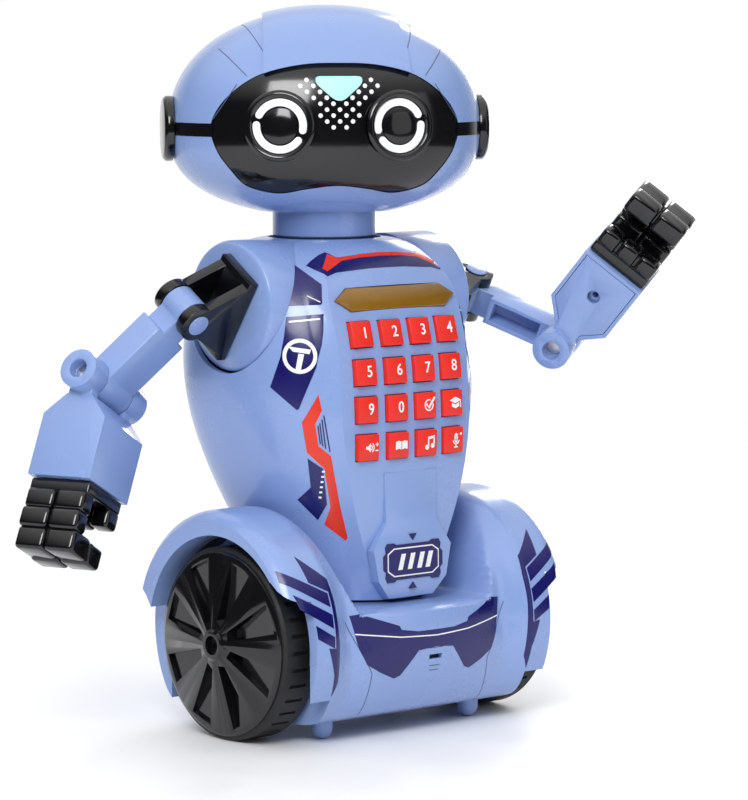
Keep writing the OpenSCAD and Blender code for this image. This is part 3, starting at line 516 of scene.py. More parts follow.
def base_barrel(name, half, less, steps=160):
    stations = [half * k / 64 for k in range(-64, 65)]
    rows = [[(-half, BASE_Y, BASE_Z)] * (steps + 1)]
    for x in stations:
        rows.append([base_section(x, rim_radius(x) if less < 1 else BASE_R, 360 * i / steps, less)
                     for i in range(steps + 1)])
    rows.append([(half, BASE_Y, BASE_Z)] * (steps + 1))
    return lofted(name, rows)


# %% The housing with its wheel rooms, dish opening and slots
def drum(name, radius, low, high, matrix, steps=96):
    return plate(name, ring_points(radius, steps=steps), low, high, matrix)


side_view = PLACE @ turned(90, "Z") @ turned(90, "X")

housing = base_barrel("base_housing", SIDE, 0.0)
combine(housing, base_barrel("base_inside", ROOM_X - WALL, WALL, 72))
for side in (-1, 1):
    low, high = (ROOM_X, SIDE + 1) if side > 0 else (-SIDE - 1, -ROOM_X)
    room = plate("room", ring_points(ARCH_R, 0, 180, 64, AXLE_Y, AXLE_Z)
                 + [(AXLE_Y - ARCH_R, -1), (AXLE_Y + ARCH_R, -1)], low, high, side_view)
    combine(housing, room)
    low, high = (59, SIDE + 1) if side > 0 else (-SIDE - 1, -59)
    rim = [(-62, -1), (-62, 51), (-47, 52), (-40, 56), (-33, 61), (0, 61), (0, 36), (33, 36),
           (41, 48), (46, 53), (62, 53), (62, -1)]
    combine(housing, plate("rim", rim, low, high, side_view))
tray_way = [(-42.3, -28.3), (42.3, -28.3), (42.3, 28.3), (-42.3, 28.3)]
combine(housing, plate("tray_way", tray_way, 0, 8.7, PLACE))
combine(housing, drum("waist_way", 24, 39.2, 80, PLACE @ Matrix.Translation((0, 5, 0))))
combine(housing, drum("axle_way", 3.5, -50.5, 50.5,
                      PLACE @ Matrix.Translation((0, AXLE_Y, AXLE_Z)) @ turned(90, "Y"), 32))
slot_way = [(-3.2, 27), (3.2, 27), (3.2, 28.8), (-3.2, 28.8)]
combine(housing, plate("slot_way", slot_way, 30, 52, seen_from(0)))
dress(housing, "lavender_plastic", "chassis", ["base_shell"], 34)
print("base housing:", len(housing.data.polygons), "faces")

# %% Painted shade: dark sheets inside the wheel arches and a black plate behind the slot
# Each arch's ceiling over the tyre gets a thin dark sheet, painted shade of the cavity.
for side, label in ((1, "left"), (-1, "right")):
    rows = [[(side * x, AXLE_Y + 40.85 * cos(rad(a)), AXLE_Z + 40.85 * sin(rad(a)))
             for a in range(-6, 187, 4)] for x in (50, 54, 58.6)]
    shade_sheet = lofted(label + "_arch_shade_sheet", rows, 0.5)
    dress(shade_sheet, "painted_shade_dark", "chassis")
# A black plate just behind the slot paints the shade inside the opening.
shade_plate_outline = [(-3.6, 26.6), (3.6, 26.6), (3.6, 29.2), (-3.6, 29.2)]
shade_plate = plate("slot_shade_plate", shade_plate_outline, 41.5, 43.5, seen_from(0))
dress(shade_plate, "black_plastic", "chassis")
print("two arch liners and one slot pocket")

# %% [markdown]
# The small pieces under the base are flat plates with holes. They come straight from the CAD
# solids with their edges eased, because their shape is already right.

# %% Underside, drive and inner pieces
for node, material, width in (
    ("bottom_tray", "lavender_plastic", 0.3), ("battery_door", "lavender_plastic", 0.3),
    ("power_switch", "black_plastic", 0.3), ("left_gearbox", "motor_metal", 0.6),
    ("right_gearbox", "motor_metal", 0.6), ("battery_cells", "cell_wrap", 0.3),
    ("main_board", "circuit_board", 0.2), ("housing_screws", "screw_steel", 0.15),
):
    dress(from_cad(node, width=width), material)
print("underside, drive and inner pieces done")

# %% [markdown]
# ## Wheels
#
# A wheel is a rubber tyre on a glossy disc. The tyre's tread blocks and shoulder are rounded a
# little, so the rubber does not look like sheet metal. The disc keeps its eight blades.

# %% Tyres and discs
for side in ("left", "right"):
    dress(from_cad(side + "_tyre", width=0.35), "tyre_rubber", angle=35)
    disc = from_cad(side + "_wheel_disc", width=0.35)
    dress(disc, "gloss_black", angle=24)
print("wheels done")

# %% [markdown]
# ## The torso
#
# The torso is two shells that meet at the sides. Every level is a rounded square whose width,
# depth, centre and squareness change with height. The front level has a flat panel in the middle
# with a crisp crease on each side, where the keys and the window sit.


# %% Levels of the torso
WAIST, CHEST, COLLAR, NECK_Y = 48.2, 135.0, 183.5, 18.2
CHEST_W, CHEST_D, COLLAR_R = 105.0, 94.6, 21.5
CUP_Y, CUP_Z = 14.5, 159.0


def low_part(z):
    return sin(rad(90 * min(1, max(0, (z - 46) / (CHEST - 46)))))


def high_part(z):
    return min(1, max(0, (z - CHEST) / (COLLAR - CHEST)))


def torso_a(z):
    if z < CHEST:
        return 28 + (CHEST_W / 2 - 28) * low_part(z) ** 1.15
    return COLLAR_R + (CHEST_W / 2 - COLLAR_R) * math.sqrt(1 - high_part(z) ** 3)


def torso_b(z):
    if z < CHEST:
        return 31.5 + (CHEST_D / 2 - 31.5) * low_part(z) ** 0.9
    return COLLAR_R + (CHEST_D / 2 - COLLAR_R) * math.sqrt(1 - high_part(z) ** 1.75)


def torso_y(z):
    return NECK_Y - 15 * max(0, (161 - z) / 115) ** 1.6


def torso_n(z):
    return 2.1 + 0.7 * max(0, sin(rad(180 * min(1, max(0, (z - 46) / (COLLAR - 46))) ** 1.3)))


def panel_at(z):
    wide = 32 * sin(rad(90 * min(1, (z - 22) / 100))) ** 1.1
    return wide * (1 - ((z - 160) / 40) ** 2) if z > 160 else wide


def signed_pow(v, power):
    return math.copysign(abs(v) ** power, v)


def ring_at(a, b, yc, n, z, turn):
    return (a * signed_pow(cos(rad(turn)), 2 / n), yc + b * signed_pow(sin(rad(turn)), 2 / n), z)


def front_level(z, less=0.0, sides=24, across=24):
    a, b, yc, n, w = torso_a(z) - less, torso_b(z) - less, torso_y(z), torso_n(z), panel_at(z) - less / 2
    turn = math.degrees(math.acos(min(1, min(1, (w + 4.5) / a) ** (n / 2))))
    fade = min(1, max(0, (COLLAR - 3 - z) / 12))
    side = [ring_at(a, b, yc, n, z, 180 + turn * k / sides) for k in range(sides + 1)]
    flat = []
    for k in range(-across // 2, across // 2 + 1):
        x = w * k / (across / 2)
        y = yc - b + 2 * (x / w) ** 2
        r = yc - b * (1 - (abs(x) / a) ** n) ** (1 / n)
        flat.append((x, y * fade + r * (1 - fade), z))
    return side + flat + [(-x, y, z) for x, y, z in reversed(side)]


def rear_level(z, less=0.0, steps=80):
    return [ring_at(torso_a(z) - less, torso_b(z) - less, torso_y(z), torso_n(z), z, 180 * k / steps)
            for k in range(steps + 1)]


def chest_y(z):
    return torso_y(z) - torso_b(z)


def on_chest(x, z, lean):
    """The frame of a key or the window: +Z points out of the chest."""
    y = chest_y(z) + 2 * (x / panel_at(z)) ** 2
    return PLACE @ Matrix.Translation((x, y, z)) @ turned(90 - lean, "X")


torso_levels = [WAIST + (CHEST - WAIST) * k / 30 for k in range(30)]
torso_levels += [CHEST + (COLLAR - CHEST) * sin(rad(90 * k / 20)) for k in range(21)]

ROWS = ((149.4, 15), (135.3, 7), (121.3, 2), (107.2, -2))
KEYS = ("key_1", "key_2", "key_3", "key_4", "key_5", "key_6", "key_7", "key_8",
        "key_9", "key_0", "key_check", "key_learn", "key_sound", "key_story", "key_music", "key_voice")
key_frames = {name: on_chest((k % 4 - 1.5) * 14.2, *ROWS[k // 4]) for k, name in enumerate(KEYS)}


def box_outline(half, tall=None):
    tall = half if tall is None else tall
    return [(-half, -tall), (half, -tall), (half, tall), (-half, tall)]


def window_outline(grow=0.0):
    half, tall = 29.8 + grow, 4.6 + grow
    return [(-half, 0), (-half + 6.5, -tall), (half - 6.5, -tall),
            (half, 0), (half - 6.5, tall), (-half + 6.5, tall)]


# %% The two torso shells
def cut_cups(piece):
    for low, high in ((26, 62), (-62, -26)):
        combine(piece, drum("cup_room", 25.15, low, high,
                            PLACE @ Matrix.Translation((0, CUP_Y, CUP_Z)) @ turned(90, "Y")))


front = lofted("torso_front_shell", [front_level(z) for z in torso_levels], WALL)
cut_cups(front)
for name in KEYS:
    combine(front, plate("key_way", box_outline(5.25), -6, 6, key_frames[name]))
combine(front, plate("window_way", window_outline(0.15), -6, 6, on_chest(0, 162.6, 24)))
badge = [(-13.2, 97), (13.2, 97), (12.6, 78), (19.5, 68), (17, 56), (11, WAIST + 1),
         (-11, WAIST + 1), (-17, 56), (-19.5, 68), (-12.6, 78)]
belly = [(chest_y(97) + 1, 97.5), (chest_y(97) - 0.05, 97), (chest_y(84) - 0.5, 84),
         (chest_y(68) - 2.4, 68), (chest_y(56) - 3.6, 56), (chest_y(WAIST) - 3.4, WAIST + 1),
         (chest_y(WAIST) + 1, WAIST + 1), (chest_y(68) + 1, 68)]
field = plate("badge_field", badge, 20, 60, seen_from(0))
combine(field, plate("belly", belly, -30, 30, side_view), "INTERSECT")
bevel(field, 0.7, 2, 20)
dress(field, "lavender_plastic", "chassis", angle=24)
dress(front, "lavender_plastic", "chassis", ["torso_front"], 24)

rear = lofted("torso_rear_shell", [rear_level(z) for z in torso_levels], WALL)
cut_cups(rear)
for k in range(7):
    low, high = 88 + 4 * k, 89.8 + 4 * k
    slit = [(-12, low), (12, low), (12, high), (-12, high)]
    combine(rear, plate("slot", slit, -80, -40, seen_from(0)))
dress(rear, "lavender_plastic", "chassis", ["torso_rear"], 26)
for node, material, width in (
    ("left_cup", "lavender_plastic", 0.3), ("right_cup", "lavender_plastic", 0.3),
    ("neck_post", "lavender_plastic", 0.4), ("display_window", "amber_window", 0.5),
):
    dress(from_cad(node, width=width), material, angle=30)
print("torso: front", len(front.data.polygons), "rear", len(rear.data.polygons), "faces")

# %% [markdown]
# ## Keys
#
# Sixteen square keys with soft edges. Each symbol stands a hair above its key. Ten of them are
# digits, the rest are small pictures made from flat outlines.


# %% Keys and their symbols
def strip(points, width):
    """The outline of a line with square ends through the points."""
    left, right = [], []
    for k, (x, y) in enumerate(points):
        a, b = points[max(0, k - 1)], points[min(len(points) - 1, k + 1)]
        dx, dy = b[0] - a[0], b[1] - a[1]
        size = math.hypot(dx, dy)
        left.append((x - dy / size * width / 2, y + dx / size * width / 2))
        right.append((x + dy / size * width / 2, y - dx / size * width / 2))
    return left + right[::-1]


def digit(text, size, low, high, matrix, name):
    bpy.ops.object.text_add()
    piece = choose(bpy.context.object)
    piece.data.body = text
    piece.data.size = size
    piece.data.align_x = "CENTER"
    piece.data.align_y = "CENTER"
    piece.data.offset = size * 0.012
    piece.data.extrude = (high - low) / 2
    piece.data.resolution_u = 4
    bpy.ops.object.convert(target="MESH")
    piece = bpy.context.object
    piece.name = name
    narrow = Matrix.Diagonal((0.95, 1, 1, 1))
    piece.data.transform(matrix @ Matrix.Translation((0, 0, (high + low) / 2)) @ narrow)
    tidy_mesh(piece)
    return piece


def circle(x, y, r, steps=20):
    return ring_points(r, steps=steps, x=x, y=y)


def moved(outline, x, y):
    return [(u + x, v + y) for u, v in outline]


PICTURES = {
    "key_check": [arc_band(1.75, 2.25, 75, 370, 20),
                  strip([(-1.3, 0.5), (-0.1, -1.0), (2.9, 2.9)], 0.9)],
    "key_learn": [[(-2.9, 0.9), (0, -0.3), (2.9, 0.9), (0, 2.2)],
                  [(-1.8, 0.0), (0, -0.8), (1.8, 0.0), (1.8, -1.5), (0, -2.2), (-1.8, -1.5)],
                  strip([(2.6, 0.6), (2.6, -1.9)], 0.4)],
    "key_sound": [[(-2.8, -0.6), (-1.8, -0.6), (-0.6, -1.7), (-0.6, 1.7), (-1.8, 0.6), (-2.8, 0.6)],
                  moved(arc_band(0.9, 1.3, -50, 50, 8), -0.9, 0),
                  moved(arc_band(1.8, 2.2, -50, 50, 8), -0.9, 0),
                  strip([(1.9, 1.1), (3.3, 1.1)], 0.45), strip([(2.6, 0.4), (2.6, 1.8)], 0.4),
                  strip([(1.9, -1.2), (3.3, -1.2)], 0.45)],
    "key_story": [[(-2.9, 1.4), (-1.5, 1.8), (-0.2, 1.4), (-0.2, -1.6), (-1.5, -1.2), (-2.9, -1.6)],
                  [(2.9, 1.4), (1.5, 1.8), (0.2, 1.4), (0.2, -1.6), (1.5, -1.2), (2.9, -1.6)]],
    "key_music": [circle(-1.3, -1.7, 0.95), circle(1.5, -1.2, 0.95),
                  strip([(-0.6, -1.7), (-0.6, 1.9)], 0.55), strip([(2.2, -1.2), (2.2, 2.4)], 0.55),
                  [(-0.87, 1.2), (2.47, 1.7), (2.47, 2.7), (-0.87, 2.2)]],
    "key_voice": [circle(0, 1.7, 0.85), [(-0.85, 1.7), (-0.85, -0.3), (0.85, -0.3), (0.85, 1.7)],
                  circle(0, -0.3, 0.85), moved(arc_band(1.3, 1.7, 190, 350, 12), 0, -0.1),
                  strip([(0, -1.7), (0, -2.7)], 0.45), strip([(-0.9, -2.8), (0.9, -2.8)], 0.45),
                  circle(2.4, 2.2, 0.5, 12)],
}
for name in KEYS:
    key = from_cad(name, width=0.85, segments=3, angle=40)
    dress(key, "key_red", angle=40)
    face = key_frames[name] @ Matrix.Translation((1.3, 0.1, 0))
    if name in PICTURES:
        symbol = plates(name + "_symbol", [moved(o, -0.2, 0) for o in PICTURES[name]], 1.5, 1.82, face)
    else:
        symbol = digit(name[-1], 6.0, 1.5, 1.82, face, name + "_symbol")
    dress(symbol, "white_print", name, angle=20)
print("keys:", len(KEYS))

# %% [markdown]
# ## Arms
#
# The arms are boxy mouldings, so the CAD solids are right already. Their edges are rounded, more
# on the black hands, which look moulded from soft plastic.

# %% Brackets, upper arms, forearms and hands
for side in ("left", "right"):
    for part, material, width in (
        ("bracket", "gloss_black", 0.7), ("shoulder_pin", "lavender_plastic", 0.25),
        ("upper_arm", "lavender_plastic", 0.5), ("elbow_pin", "screw_steel", 0.3),
        ("forearm", "lavender_plastic", 0.45), ("forearm_cover", "lavender_plastic", 0.35),
    ):
        dress(from_cad(side + "_" + part, width=width), material, angle=32)


def rounded_box(name, low, high, radius, matrix):
    outline = [(low[0], low[1]), (high[0], low[1]), (high[0], high[1]), (low[0], high[1])]
    piece = plate(name, outline, low[2], high[2], matrix)
    return bevel(piece, radius, 3, 40)


SHOULDER_X, ARM_DROP, ARM_LEN, HAND_START = 71.9, 57.2, 42.1, 41.0
FINGER_HALF, FINGER_SHIFT, THUMB_HALF, THUMB_PITCH = 6.2, 6.5, 4, 8.9
FINGER_BLOCKS = (((4, 5.5), (12, 13.5)), ((11.6, 6), (19.6, 14.2)),
                 ((19.1, 0.5), (27.9, 13.1)), ((19.9, -8.5), (28.5, 1.1)))


def arm_frame(side):
    """The frame beyond the elbow: +X runs along the forearm to the fingers."""
    s, swing, bend = (1, -62.3, -74.2) if side == "left" else (-1, -34, 38.5)
    shoulder = Matrix.Translation((s * SHOULDER_X, CUP_Y, CUP_Z)) @ turned(0 if s > 0 else 180, "Z")
    upper = turned(swing, "X") @ turned(ARM_DROP, "Y") @ Matrix.Translation((ARM_LEN, 0, 0))
    return PLACE @ shoulder @ upper @ turned(bend, "Z")


for side in ("left", "right"):
    at = arm_frame(side) @ Matrix.Translation((HAND_START, 0, 0))
    blocks = [rounded_box("heel", (0, -13, -12), (5, 13, 12), 0.9, at),
              rounded_box("bridge", (4, -10, 6.4), (24, 10, 11.4), 0.8, at),
              rounded_box("web", (4, -10, -11), (10, 10, -6), 0.8, at),
              plate("stub", ring_points(4, steps=32), -3.4, 1, at @ turned(90, "Y"))]
    for y in (-FINGER_SHIFT, FINGER_SHIFT):
        for low, high in FINGER_BLOCKS:
            corners = (low[0], y - FINGER_HALF, low[1]), (high[0], y + FINGER_HALF, high[1])
            blocks.append(rounded_box("finger", *corners, 1.7, at))
    for y in (-THUMB_PITCH, 0, THUMB_PITCH):
        blocks.append(rounded_box("thumb", (4, y - THUMB_HALF, -12.8), (11.6, y + THUMB_HALF, -4.8), 1.6, at))
    palm = join(blocks, side + "_hand_blocks")
    dress(palm, "gloss_black", side + "_hand", [side + "_hand"], 32)
print("arms done")

# %% [markdown]
# ## The head
#
# The helmet is a wide egg in two halves, split at the ear line. The drawing turns the head a
# little to the robot's right, so its frame is turned about the neck.


# %% Levels of the head
HEAD = PLACE @ Matrix.Translation((0, NECK_Y, 225.2)) @ turned(-33, "Z")
HEAD_W, HEAD_D, UP, DOWN = 119.6, 91.0, 45.6, 34.0
FACE = HEAD @ turned(90, "X")


def shrink(z):
    if z > 0:
        return math.sqrt(max(0, 1 - (z / UP) ** 2.3))
    return math.sqrt(max(0, 1 - (-z / DOWN) ** 2.65))


def head_level(z, less=0.0, steps=144):
    k = shrink(z)
    points = [ring_at(max(0.02, HEAD_W / 2 * k - less), max(0.02, HEAD_D / 2 * k - less), 0, 2.25,
                      z * (1 - less / UP), 360 * i / steps) for i in range(steps + 1)]
    back = PLACE.inverted() @ HEAD
    return [tuple(back @ Vector(p)) for p in points]


up_levels = [UP * sin(rad(88 * k / 28)) for k in range(29)]
down_levels = [-DOWN * 0.93 * sin(rad(90 * k / 18)) for k in range(18, -1, -1)]
all_levels = down_levels + up_levels[1:]


def skin_of_head(name, levels, less, thick, crown=True):
    rows = [head_level(z, less) for z in levels]
    if crown:
        tip = PLACE.inverted() @ HEAD @ Vector((0, 0, UP * (1 - less / UP)))
        rows.append([tuple(tip)] * len(rows[0]))
    return lofted(name, rows, thick)


def mask_outline(grow=0.0):
    side, top, low = 47 + grow, 25.3 + grow, -23.5 - grow
    half = [(0, top), (14, top - 0.6), (side - 19, 21.5), (side - 9, 15.5), (side - 2.4, 8), (side, 0.5),
            (side - 2.5, -8), (side - 8, -15.5), (side - 14, -21), (22, low), (12, low + 1.6), (0, low + 3)]
    return flowing(half + [(-x, y) for x, y in half[-2:0:-1]])


def brow_outline(grow=0.0):
    return softened([(-8.8 - grow, 20.5 + grow), (-8.8 - grow, 17.8), (-1.6 - grow, 11.4 - grow),
                     (1.6 + grow, 11.4 - grow), (8.8 + grow, 17.8), (8.8 + grow, 20.5 + grow)], 2.2)


def face_y(x, z):
    k = shrink(z)
    return -HEAD_D / 2 * k * (1 - (abs(x) / (HEAD_W / 2 * k)) ** 2.25) ** (1 / 2.25)


def eye_frame(s):
    return HEAD @ Matrix.Translation((s * 22.3, face_y(22.3, 2), 2)) @ turned(16 * s, "Z") @ turned(87, "X")


# %% Helmet, mask and lights
def cut_for_face(piece):
    combine(piece, plate("face_way", mask_outline(0.15), 0, 60, FACE))
    for low, high in ((58.6, 70), (-70, -58.6)):
        combine(piece, drum("ear_way", 12.6, low, high, HEAD @ turned(90, "Y"), 72))


helmet = skin_of_head("helmet_top", up_levels, 0, WALL)
crest = skin_of_head("crest", up_levels, -1.4, 2.4)
crest_plan = [(-29, -48), (29, -48), (24, 0), (20, 30), (-20, 30), (-24, 0)]
combine(crest, plate("plan", crest_plan, 0, 60, HEAD), "INTERSECT")
combine(helmet, crest, "UNION")
cut_for_face(helmet)
dress(helmet, "lavender_plastic", "head", ["head_top"], 24)

chin = skin_of_head("helmet_bottom", down_levels, 0, WALL, False)
cut_for_face(chin)
back = HEAD.inverted() @ PLACE
floor_level = [tuple((back @ Vector(p))[:2]) for p in head_level(down_levels[0], 1)[:-1]]
chin_floor = plate("chin_floor", floor_level, down_levels[0], down_levels[0] + WALL, HEAD)
tube_profile = [(15.05, -41.4), (15.05, -28), (20, -28), (20, -40.8), (19.4, -41.4)]
tube = turned_part("neck_tube", tube_profile, 96, HEAD)
combine(chin_floor, drum("bore", 15.1, -40, -20, HEAD, 96))
join([chin_floor, tube], "neck_tube")
dress(chin_floor, "lavender_plastic", "head", angle=30)
dress(chin, "lavender_plastic", "head", ["head_bottom"], 26)

mask = skin_of_head("face_cover", all_levels, 0.3, 2.0)
combine(mask, plate("face", mask_outline(-0.15), 0, 60, FACE), "INTERSECT")
for s in (-1, 1):
    combine(mask, drum("eye_way", 12.35, -20, 20, eye_frame(s), 72))
combine(mask, plate("brow_way", brow_outline(0.15), 0, 60, FACE))
dress(mask, "gloss_black", "head", ["face_mask"], 26)
light = plate("forehead_glow", brow_outline(), 0, 60, FACE)
combine(light, skin_of_head("light_skin", all_levels, 0, 2.0), "INTERSECT")
dress(light, "light_blue", "head", ["forehead_light"], 26)
for node in ("left_ear", "right_ear"):
    dress(from_cad(node, width=0.3), "gloss_black", angle=28)
EYE_R = 13.4
bezel_profile = [(0, -3.1), (EYE_R - 1.3, -3.1), (EYE_R - 1.3, 0.7), (EYE_R - 0.2, 1.0), (EYE_R, 1.3),
                 (EYE_R, 1.8), (EYE_R - 0.3, 2.2), (EYE_R - 1.2, 2.7), (EYE_R - 1.7, 2.7),
                 (EYE_R - 2.5, 2.2), (EYE_R - 2.9, 0.5), (EYE_R - 3.2, 0.4), (0, 0.4)]
pupil_profile = [(0, 0.3), (6.8, 0.3), (6.8, 0.8), (5.5, 1.3), (3, 1.6), (0, 1.7)]
for s, side in ((1, "left"), (-1, "right")):
    bezel = turned_part(side + "_eye_rim", bezel_profile, 72, eye_frame(s))
    dress(bezel, "gloss_black", "head", [side + "_bezel"], 35)
    arcs = [arc_band(7.4, 10.3, -10, 152), arc_band(7.4, 10.3, 178, 322)]
    if s > 0:
        arcs = [[(-x, y) for x, y in reversed(arc)] for arc in arcs]
    light = plates(side + "_eye_arcs", arcs, 0.3, 1.2, eye_frame(s))
    bevel(light, 0.25, 2, 40)
    dress(light, "eye_white", "head", [side + "_eye_light"], 30)
    pupil = turned_part(side + "_pupil", pupil_profile, 64, eye_frame(s))
    dress(pupil, "gloss_black", "head", angle=50)

DOTS = [(-6, (5,)), (-5, (6, 4)), (-4, (5, 3)), (-3, (4, 2)), (-2, (3, 1)), (-1, (0, 2)),
        (0, (3, 1)), (1, (0, 2)), (2, (1,))]
spots = [circle(s * i * 2.43, 5.9 - 2.2 * j, 0.85, 16) for j, row in DOTS for i in row
         for s in ((1, -1) if i else (1,))]
dots = plates("face_dots", spots, 30, 60, FACE)
combine(dots, skin_of_head("dot_skin", all_levels, 0.15, 0.5), "INTERSECT")
dress(dots, "white_print", "head", angle=20)
band = skin_of_head("band_skin", [-6 + 0.5 * k for k in range(25)], -0.06, 0.6, False)
band_way = [(-59, -2.3), (59, -2.3), (59, 2.7), (-59, 2.7)]
combine(band, plate("band_way", band_way, 0.5, 60, FACE), "INTERSECT")
combine(band, plate("band_gap", mask_outline(-0.4), 0, 60, FACE))
dress(band, "gloss_black", "head", angle=26)
print("head:", len(helmet.data.polygons), "faces,", len(spots), "dots")

# %% [markdown]
# ## Printed graphics and lines of painted shade
#
# A print is a very thin skin of the surface it sits on. The skin is laid a tenth of a millimetre
# above the plastic and then kept only inside the printed outline, so it follows every curve. A
# second colour on top of a first one uses a skin that is a little higher. The same skins also
# carry thin dark lines of painted shade in the crease lines of the base and the helmet.


# %% Skins and the print helper
def torso_skin(rise):
    return lofted("skin", [front_level(z, -rise, 16, 16) for z in torso_levels], 0.45)


def base_skin(rise):
    skin = base_barrel("skin", SIDE, -rise, 120)
    return combine(skin, base_barrel("under", SIDE, 0.35, 120))


def head_skin(rise):
    return skin_of_head("skin", all_levels, -rise, 0.45)


def printed(name, skin, outlines, matrix, material, body, low=8, high=70):
    kept = []
    for outline in outlines:
        part = plate(name + "_part", outline, low, high, matrix)
        combine(part, copy_of(skin, "skin_copy"), "INTERSECT")
        if len(part.data.polygons):
            kept.append(part)
        else:
            bpy.data.objects.remove(part)
    bpy.data.objects.remove(skin)
    return dress(join(kept, name), material, body, angle=28)


def half_ring(inner, outer, start, x, y):
    return (ring_points(outer, start, start + 182, 40, x, y)
            + ring_points(inner, start + 182, start, 40, x, y))


def mirrored(outline):
    return [(-x, y) for x, y in reversed(outline)]


def both(outlines):
    return outlines + [mirrored(o) for o in outlines]


def whole(half):
    """A closed outline from its right half, whose first and last points lie on the middle line."""
    return half + [(-x, y) for x, y in half[-2:0:-1]]


# %% Prints on both sides of the torso
NAVY = [
    [(-27.1, 175), (-25, 176.2), (-13.2, 168.2), (-13, 161.4), (-13.6, 160.8), (-26.5, 160.2), (-27.2, 161)],
    [(-26.5, 156.2), (-12.5, 157.4), (-12.6, 150.9), (-13.2, 146), (-14.8, 140.3), (-15.2, 137.9),
     (-20.3, 125.9), (-21.8, 122.1), (-22.7, 121.9), (-32.5, 130.1), (-28.5, 141.9), (-28.1, 144.8),
     (-27.3, 148.9)],
    [(-18.6, 103.5), (-12.7, 99.5), (-11.3, 85.9), (-14.7, 79.6), (-22.4, 87.3), (-17.4, 92.3)],
]
for top, foot in (((-14.7, 116), (-13.8, 109)), ((-14, 116.9), (-12.9, 108.2)),
                  ((-13.2, 118.3), (-11.8, 107.3)), ((-12.5, 119.8), (-10.2, 106.1))):
    NAVY.append(strip([top, foot], 0.5))
ORANGE = [[(-14.5, 127.5), (-13.2, 121.7), (-15.7, 116.6), (-14.5, 108.2), (-9.8, 104.4), (-6.4, 85.2),
           (-3.5, 72.8), (-4.4, 71.8), (-12.3, 77.9), (-10, 84.7), (-12.3, 99.7), (-18.8, 105.7),
           (-20.7, 117.1)]]
PALE = [circle(-25.6, 161.8, 0.4, 12), strip([(-18.7, 164), (-13.7, 161.8)], 0.35),
        strip([(-25.5, 154.5), (-13.8, 155.6)], 0.6), half_ring(5.05, 6.5, 0, -21.4, 141.9),
        half_ring(5.05, 6.5, 180, -21.4, 141.9),
        moved([(-4.4, 3.6), (4.2, 2.4), (3.6, 0.8), (-2.6, 1.7)], -21.4, 141.9),
        moved([(-1.6, -4.9), (0.4, -5.0), (1.6, 0.7), (-0.5, 1.0)], -21.4, 141.9)]
for k in range(6):
    PALE.append(moved(box_outline(0.55, 0.35), -13.9 + 0.25 * k, 88.5 + 2.0 * k))
for turn, flip, side in ((-40, False, "right"), (40, True, "left")):
    view = seen_from(turn)
    for word, outlines, material, rise in (
        ("navy", NAVY, "navy_print", 0.12), ("orange", ORANGE, "orange_print", 0.12),
        ("pale", PALE, "white_print", 0.2),
    ):
        outlines = [mirrored(o) for o in outlines] if flip else outlines
        printed(side + "_" + word + "_print", torso_skin(rise), outlines, view, material, "chassis")

# %% Prints above the window and on the badge
collar_navy = whole([(0, 173.4), (9, 173.3), (24, 172.3), (28.5, 171.1), (32.3, 175.7), (31.3, 176.9),
                     (28.1, 178.6), (22.6, 179.8), (19.5, 177.4), (9, 178.4), (0, 178.7)])
collar_red = whole([(0, 178.9), (9, 178.6), (19.5, 177.6), (22.3, 178.8), (28.4, 173.9), (27.4, 172.8),
                    (18.8, 176.4), (10.7, 177.3), (0, 177.6)])
printed("collar_navy", torso_skin(0.12), [collar_navy], seen_from(0), "navy_print", "chassis")
printed("collar_red", torso_skin(0.2), [collar_red], seen_from(0), "orange_print", "chassis")

y_top, y_foot = chest_y(68) - 2.4, chest_y(56) - 3.6
lean = math.degrees(math.atan2(y_foot - y_top, 12))
badge_at = PLACE @ Matrix.Translation((0, y_foot, 56)) @ turned(90 + lean, "X")
frame_half = [(0, 0.2), (8.5, 0.2), (9.5, -0.6), (13, -0.6), (14, 1.2), (13.6, 3.2), (14.9, 4.4),
              (14.9, 9.4), (13.6, 10.6), (14, 12.6), (13, 14.2), (9.5, 14.2), (8.5, 13.5), (0, 13.5)]
field_half = [(0, 1.9), (9.5, 1.9), (12.4, 3.8), (12.4, 10.0), (9.5, 11.8), (0, 11.8)]
line_half = [(0, 1.4), (9.7, 1.4), (12.9, 3.5), (12.9, 10.3), (9.7, 12.3), (0, 12.3)]
bars = [[(x - 1.6, 3.9), (x + 0.6, 3.9), (x + 2.4, 9.9), (x + 0.2, 9.9)] for x in (-6.2, -1.4, 3.4, 7.6)]
marks = [[(-1.8, 17.2), (1.8, 17.2), (0, 14.7)], [(-1.8, -3.6), (1.8, -3.6), (0, -1.2)]]
for word, outlines, material, high in (
    ("frame", [whole(frame_half)], "navy_print", 0.30), ("line", [whole(line_half)], "white_print", 0.36),
    ("field", [whole(field_half)], "navy_print", 0.42),
    ("bars", bars, "white_print", 0.5), ("marks", marks, "navy_print", 0.3),
):
    dress(plates("badge_" + word, outlines, -0.6, high, badge_at), material, "chassis", angle=20)

# %% Prints on the base, and painted shade along its folds and round the slot
smile = whole([(0, 38.3), (9, 38.3), (16.6, 39.5), (17.5, 41.1), (24, 43.3), (29.5, 45.2), (33.2, 46.6),
               (37.6, 46.2), (36, 39.3), (34.5, 33.2), (31.5, 27.5), (25.5, 24), (19, 21.1), (16.3, 22),
               (8.7, 31), (0, 31.8)])
claw = [
    [(58.8, 69.8), (57.7, 60.6), (49.9, 56.8), (49.9, 36), (53.4, 36.5), (50, 26), (49.4, 17.6), (47.2, 22.8),
     (47.5, 30), (47.8, 38), (48, 45), (47.8, 53.7), (48.4, 61)],
    [(50.5, 56.3), (50.6, 51.3), (68.8, 61.3), (68.6, 65.4)],
    [(50.4, 48.6), (50.6, 43.5), (64.5, 51.5), (66.2, 57)],
    [(50.4, 40.4), (50.6, 36.2), (58.5, 40.4), (59, 45.5)],
]
